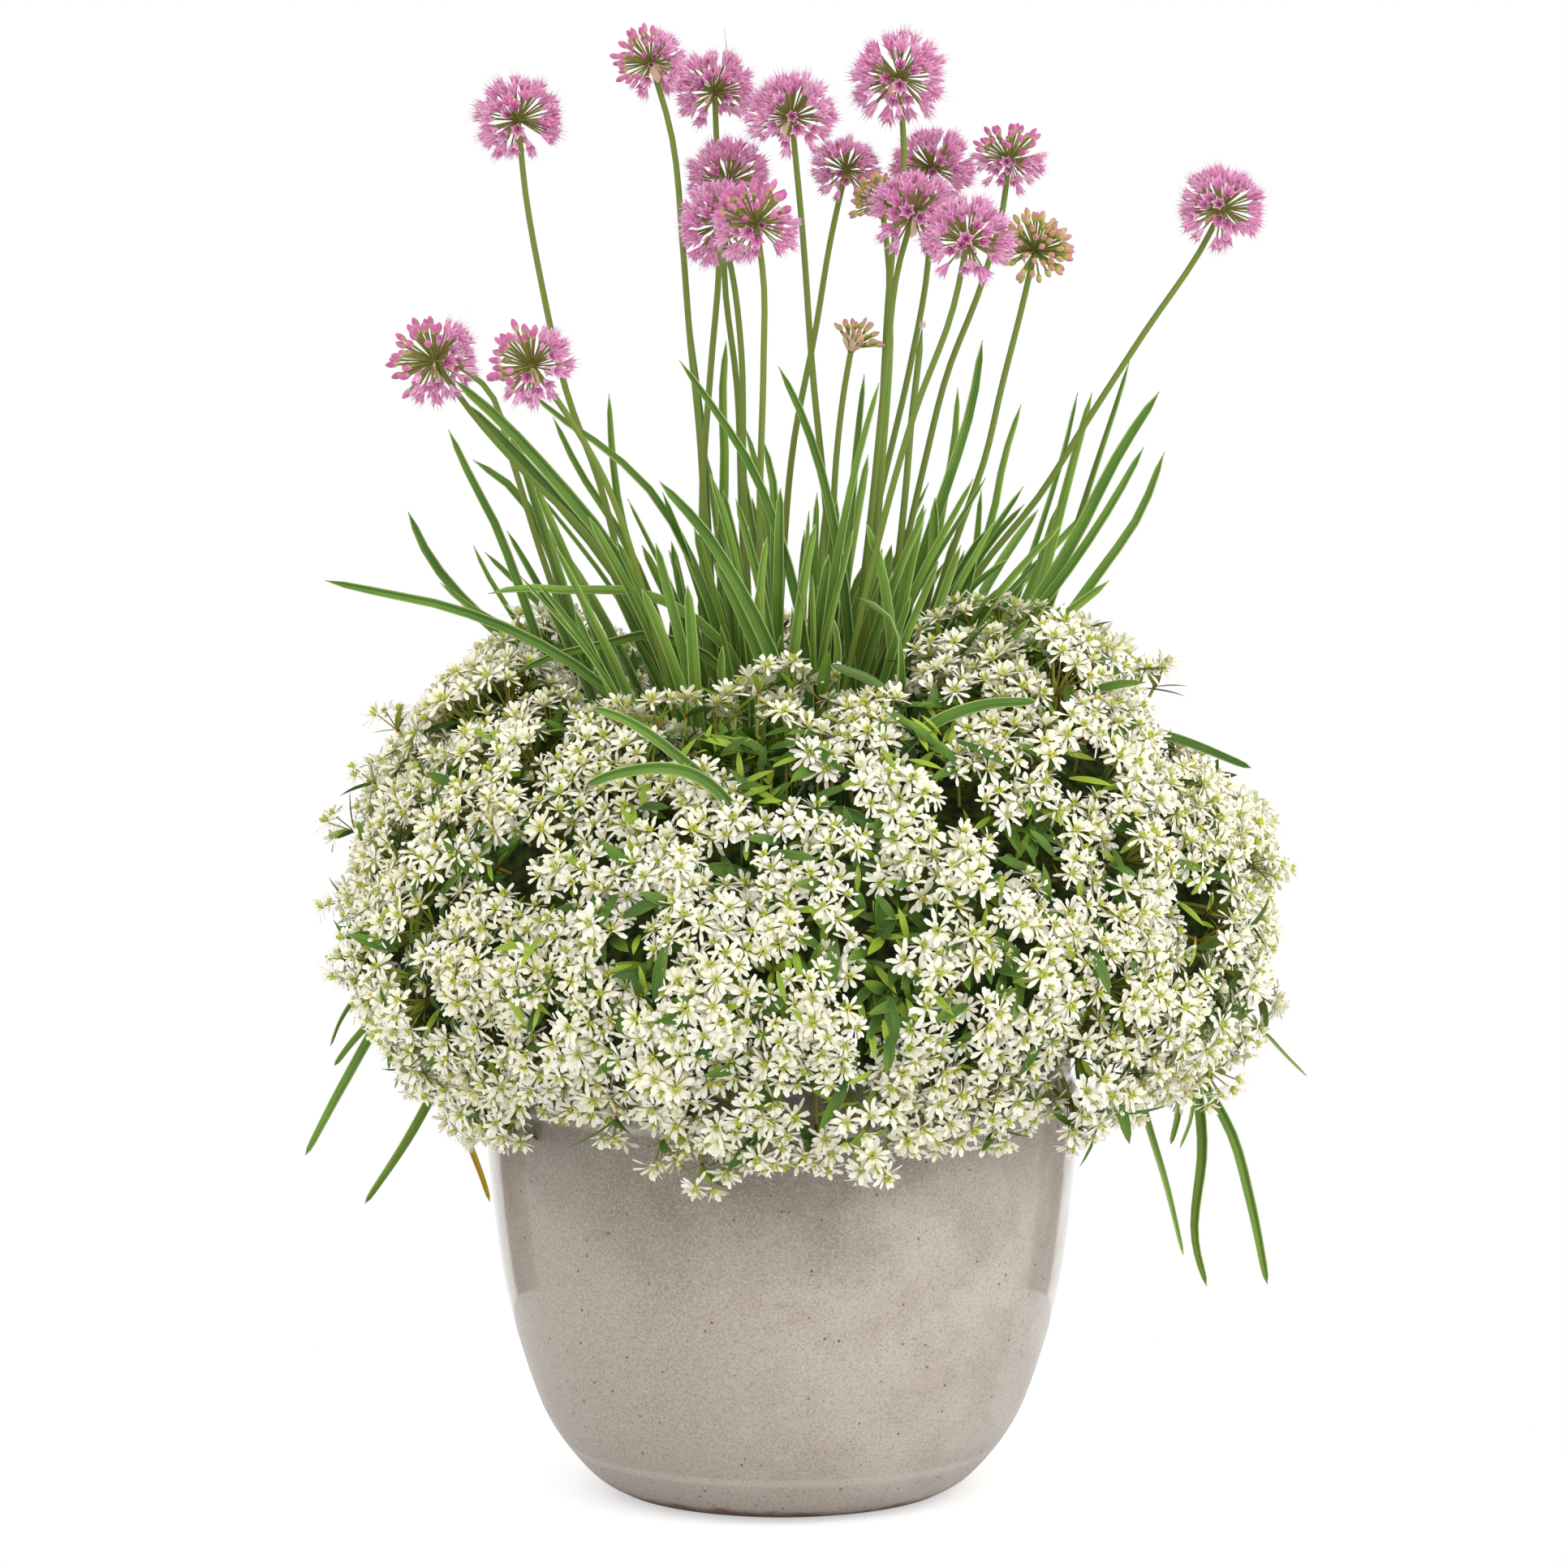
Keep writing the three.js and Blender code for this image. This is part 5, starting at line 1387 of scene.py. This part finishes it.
def make_star(bracts, inner_lean, outer_lean):
    """Narrow spoon-shaped bracts in tiers round a knobbly yellow-green eye"""
    star = new_part()
    for k in range(bracts):
        tier = ((k + draw.uniform(0, 1)) / bracts) ** 0.62
        lean = math.radians(inner_lean + (outer_lean - inner_lean) * tier + draw.uniform(-8, 8))
        length, width = draw.uniform(5.2, 8.2) + 1.8 * tier, draw.uniform(1.0, 1.58)
        roll = draw.uniform(-0.5, 0.5)

        def place(along, across):
            reach = 0.8 + length * along
            half = width * BRACT_HALF_WIDTHS[round(3 * along)]
            sag = 0.15 * length * along * along
            tilt = roll * half * across * along
            return Vector((math.sin(lean) * reach, -half * across, math.cos(lean) * reach - sag + tilt))

        bract = sheet(3, 1, place, BRACT)
        add_copy(star, bract, spun(GOLDEN_ANGLE * k + draw.uniform(-0.2, 0.2)))
    for k in range(4):
        turn = 2 * math.pi * k / 4 + draw.uniform(-0.3, 0.3)
        knob = ball(draw.uniform(0.85, 1.1), 4, 2, 2.0, CENTRE)
        place = Vector((1.3 * math.cos(turn), 1.3 * math.sin(turn), draw.uniform(1.6, 3.2)))
        add_copy(star, knob, Matrix.Translation(place))
    return star


def make_spurge_leaf(length, width, finish):
    """A long oval leaf, folded a little along its midrib and bent back at its tip"""
    def place(along, across):
        bulge = math.sin(math.pi * min(0.06 + 0.94 * along, 1)) ** 0.75 if along < AT_END else 0
        half = width / 2 * bulge
        fold, bend = 0.3 * half * abs(across), 0.12 * length * along * along
        return Vector((length * along, -half * across, fold - bend))
    return sheet(5, 2, place, finish)


STARS = [make_star(*kind) for kind in STAR_KINDS]
SPURGE_LEAVES = [make_spurge_leaf(length, width, LEAF) for length, width in LEAF_SIZES]
BRIGHT_LEAVES = [make_spurge_leaf(length, width, BRIGHT_LEAF) for length, width in BRIGHT_LEAF_SIZES]
JOINT_KNOB = ball(1.3, 6, 4, 1, JOINT)


def add_leafy_core(whole, index):
    """The shaded inside of a spray, behind its stars and leaves"""
    rows, columns = 14, 40
    middle = index * SPRAY_ANGLE

    def outline(azimuth):
        reach, ridge, hem = mound_at(azimuth)

        def out(share):
            return 150 + (share * reach - 150) * 0.66

        sections = [
            (104, SOIL_LEVEL + 4), (104, ridge - 84), (out(0.55), ridge - 56), (out(0.76), ridge - 80),
            (out(0.96), ridge - 122), (out(1), (ridge + hem) / 2 - 40), (out(0.86), hem + 44),
            (171, hem + 50), (168, 256), (140, 256), (138, SOIL_LEVEL + 4), (104, SOIL_LEVEL + 4),
        ]
        return [around(azimuth, radius, height) for radius, height in sections]

    def place(along, across):
        azimuth = middle + (along - 0.5) * SPRAY_ANGLE
        points = outline(azimuth)
        way = (across + 1) / 2 * (len(points) - 1)
        k = min(int(way), len(points) - 2)
        spot = points[k].lerp(points[k + 1], way - k)
        lump = noise.noise(spot / 14) * 8 * (0.3 < way / 11 < 0.62)
        return spot + around(azimuth, lump, 0)

    core = sheet(rows, columns, place, SHADE)
    bmesh.ops.holes_fill(core, edges=core.edges[:], sides=0)
    bmesh.ops.recalc_face_normals(core, faces=core.faces[:])
    add_copy(whole, core, tone=0.2)


def lumps_at(place):
    """How far the mound swells or sinks at a place, from -1 to 1"""
    return 1.7 * noise.noise(place / 46)


def is_leafy(place):
    """Whether the mound shows leaves at a place instead of flowers"""
    scale = 1 + place.y / EYE_DISTANCE
    side, height = place.x / scale, EYE_HEIGHT - (EYE_HEIGHT - place.z) / scale
    if place.y < 0 and any(math.hypot(side - x, height - z) < radius for x, z, radius in LEAFY_PLACES):
        return True
    return lumps_at(place) < LEAFY_BELOW


def scatter(index, spacing, tries, wanted=None):
    """Places spread evenly over a spray's share of the mound, as azimuth and share of the way down"""
    kept, spots = [], []
    for _ in range(tries):
        azimuth = (index + draw.uniform(-0.5, 0.5)) * SPRAY_ANGLE
        share = draw.uniform(0.02, 1)
        spot, _ = on_mound(azimuth, share)
        if draw.random() * FULL_RADIUS > math.hypot(spot.x, spot.y) or wanted and not wanted(spot):
            continue
        if all((spot - other).length_squared > spacing ** 2 for other in kept):
            kept.append(spot)
            spots.append((azimuth, share))
    return spots


def add_leaf_at(whole, leaf, place, ahead, outward):
    """A leaf from a place, pointing ahead with its upper face outward"""
    side = outward.cross(ahead).normalized()
    basis = Matrix((ahead, side, ahead.cross(side))).transposed().to_4x4()
    matrix = Matrix.Translation(place) @ basis @ Matrix.Scale(draw.uniform(0.75, 1.15), 4)
    add_copy(whole, leaf, matrix, draw.random())


def swung_about(outward, turn):
    return Matrix.Rotation(turn, 3, outward) @ outward.orthogonal().normalized()


def add_joint(whole, root, joint, outward, turn, leaves_below):
    """A stalk from its root to a red joint, with leaves round the joint"""
    add_copy(whole, stalk(root, joint, 0.9, 0.9, 4, STEM), tone=draw.random())
    add_copy(whole, JOINT_KNOB, Matrix.Translation(joint), draw.random())
    for k in range(leaves_below):
        ahead = (swung_about(outward, turn + 2.1 * k) + outward * draw.uniform(0.2, 1.2)).normalized()
        add_leaf_at(whole, draw.choice(SPURGE_LEAVES + BRIGHT_LEAVES), joint, ahead, outward)


def add_stars(whole, joint, top, outward, turn, count):
    """A dome of stars on short stalks that spring from a joint"""
    for k in range(count):
        off = 5.1 * math.sqrt(k + 0.5 * (count > 3))
        swung = swung_about(outward, turn + GOLDEN_ANGLE * k)
        tip = top + swung * off + outward * (draw.uniform(-4, 3) - 0.03 * off * off)
        facing = (outward + swung * 0.06 * off + stray(0.2, 0.12)).normalized()
        add_copy(whole, stalk(joint, tip, 0.5, 0.5, 3, STEM), tone=draw.random())
        size = draw.uniform(0.83, 1.18)
        star = draw.choice(STARS)
        add_copy(whole, star, turned_to(tip, facing, any_turn(), size), draw.random())


def add_clump(whole, azimuth, share):
    """A clump of stars where the mound shows flowers, or a tuft of leaves where it shows none"""
    place, outward = on_mound(azimuth, share)
    top = place + outward * (LUMP_HEIGHT * lumps_at(place) + draw.uniform(-5, 5))
    joint = top - outward * draw.uniform(18, 27)
    turn = any_turn()
    bare = is_leafy(place)
    add_joint(whole, root_of(place).lerp(joint, 0.5), joint, outward, turn, 8 if bare else 3)
    if not bare:
        add_stars(whole, joint, top, outward, turn, draw.choice((5, 6, 7, 8, 9)))


def add_sprig(whole, side, height, depth, stars):
    """A stalk that stands out of the mound, with a few leaves and stars at its end"""
    top = at_depth(side, height, depth)
    root = root_of(top)
    outward = (top - root).normalized()
    joint = top - outward * 13
    turn = any_turn()
    add_joint(whole, root, joint, outward, turn, 3)
    add_stars(whole, joint, top, outward, turn, stars)


def add_spurge_leaf(whole, azimuth, share):
    """A leaf between the stars, lying outward and aslant"""
    place, outward = on_mound(azimuth, share)
    place += outward * (LUMP_HEIGHT * lumps_at(place) - draw.uniform(0, 14))
    swung = swung_about(outward, any_turn())
    ahead = (swung + outward * draw.uniform(0.1, 1.1)).normalized()
    leaf = draw.choice(SPURGE_LEAVES if draw.random() < 0.55 else BRIGHT_LEAVES)
    add_leaf_at(whole, leaf, place - ahead * 9, ahead, outward)


def spray_of(place):
    """The spray that a place belongs to"""
    return round(math.atan2(place.y, place.x) / SPRAY_ANGLE) % len(MOUND)


def make_spray(index):
    """A twelfth of the mound, with the sprigs and onion leaves that come out of it"""
    whole = new_part()
    add_leafy_core(whole, index)
    foot = around(index * SPRAY_ANGLE, TRUNK_RING_RADIUS, SOIL_LEVEL)
    low, high = foot - UP * TRUNK_ROOT, foot + UP * TRUNK_TOP
    add_copy(whole, stalk(low, high, TRUNK_RADIUS, TRUNK_RADIUS, 8, STEM, rows=3), tone=0.5)
    for azimuth, share in scatter(index, CLUMP_SPACING, CLUMP_TRIES):
        add_clump(whole, azimuth, share)
    spots = scatter(index, LEAF_SPACING, LEAF_TRIES)
    spots += scatter(index, LEAFY_SPACING, LEAFY_TRIES, is_leafy)
    for azimuth, share in spots:
        add_spurge_leaf(whole, azimuth, share)
    for side, height, depth, stars in SPRIGS:
        if spray_of(Vector((side, depth, 0))) == index:
            add_sprig(whole, side, height, depth, stars)
    for number, (depth, width, seen) in enumerate(HANGING_LEAVES):
        points = seen_points(seen, depth)
        root = root_of(points[0])
        if spray_of(root) == index:
            path = FairPath([root, *points])
            finish, underside = (YELLOW, YELLOW) if number == YELLOWED_LEAF else (STRAP, UNDERSIDE)
            facing = Vector((0.1, -1, 0.3)).normalized() * (-1 if number == CURLED_TIP else 1)
            hangs = points[-1].z < SOIL_LEVEL + 20 and finish == STRAP
            twist = draw.uniform(-1.3, 1.3) if hangs else draw.uniform(-0.3, 0.3)
            width *= HANGING_SHARE if hangs else LYING_SHARE
            blade = make_blade(path, width, facing, 20, twist, finish, underside)
            add_copy(whole, blade, tone=draw.uniform(0, 0.4) if hangs else draw.uniform(0.7, 1))
    number = f"{index + 1:02d}"
    finish_piece(whole, f"spurge_in_flower_{number}", [f"spurge_spray_{number}"], SPURGE_FINISHES)


for index in range(len(MOUND)):
    make_spray(index)


# Stage: floor, light and camera

IMAGE_SIDE = 1932
LENS_PIXELS = 7306
CAMERA_PLACE = Vector((0.9, -3182, 715.7))
CAMERA_AIM = Vector((0.9, 0, 383.7))
FLOOR_RADIUS = 440

# Where the softboxes point, in metres
LIGHT_AIM = Vector((0, 0, 0.4))


def make_floor():
    """A round white table top that the pot stands on"""
    floor = bmesh.new()
    bmesh.ops.create_circle(floor, cap_ends=True, segments=96, radius=FLOOR_RADIUS)
    piece = add_mesh_object("floor", floor)
    material, tree, shader = new_finish("floor_white", roughness=0.9, specular_ior_level=0.0)
    shader.inputs["Base Color"].default_value = (0.8, 0.8, 0.8, 1)
    shader.inputs["Emission Strength"].default_value = 0.5
    seen = wire(tree, "ShaderNodeLightPath", {}).outputs["Is Camera Ray"]
    tree.links.new(blend(tree, seen, (0, 0, 0, 1), (1, 1, 1, 1)), shader.inputs["Emission Color"])
    piece.data.materials.append(material)
    piece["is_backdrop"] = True


def add_softbox(name, place, width, height, power):
    """A rectangular lamp that points at the middle of the plants"""
    data = bpy.data.lights.new(name, "AREA")
    data.shape = "RECTANGLE"
    data.size, data.size_y = width, height
    data.energy = power
    light = add_object(name, data)
    light.location = place
    light.rotation_euler = (LIGHT_AIM - Vector(place)).to_track_quat("-Z", "Y").to_euler()


def light_the_stage():
    """Soft light from all round, which the glaze mirrors as bright behind it and dim at the sides"""
    world = bpy.data.worlds.new("studio")
    world.use_nodes = True
    bpy.context.scene.world = world
    tree = world.node_tree
    background = tree.nodes["Background"]
    background.inputs["Color"].default_value = (1, 1, 1, 1)
    rays = wire(tree, "ShaderNodeLightPath", {}).outputs
    towards = wire(tree, "ShaderNodeTexCoord", {}).outputs["Generated"]
    behind = wire(tree, "ShaderNodeSeparateXYZ", {"Vector": towards}).outputs["Y"]
    bright = span(tree, behind, 0.79, 0.84, 0.04, 1.2)
    mirrored = calc(tree, "ADD", bright, span(tree, behind, 0.48, 0.55, 0.6, 0.0))
    lighting = blend_values(tree, rays["Is Glossy Ray"], 0.95, mirrored)
    tree.links.new(blend_values(tree, rays["Is Camera Ray"], lighting, 1.0), background.inputs["Strength"])
    add_softbox("softbox_left", (-2.4, -1.2, 1.2), 0.9, 2.6, 11)
    add_softbox("softbox_right", (2.2, -1.3, 1.2), 0.9, 2.6, 23)
    add_softbox("softbox_top", (0.4, -1.6, 2.8), 2.0, 1.6, 9)


def add_camera():
    """The camera at the photo's standpoint"""
    data = bpy.data.cameras.new("camera")
    data.sensor_width = 36
    data.lens = LENS_PIXELS / IMAGE_SIDE * data.sensor_width
    camera = add_object("camera", data)
    camera.location = CAMERA_PLACE * METRES_PER_MM
    camera.rotation_euler = (CAMERA_AIM - CAMERA_PLACE).to_track_quat("-Z", "Y").to_euler()
    bpy.context.scene.camera = camera


make_floor()
light_the_stage()
add_camera()
bpy.context.scene.view_settings.view_transform = "Standard"

low_high = lambda box: [list(corner) for corner in box]
{"cad": low_high(cad_box), "visual": low_high(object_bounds())}
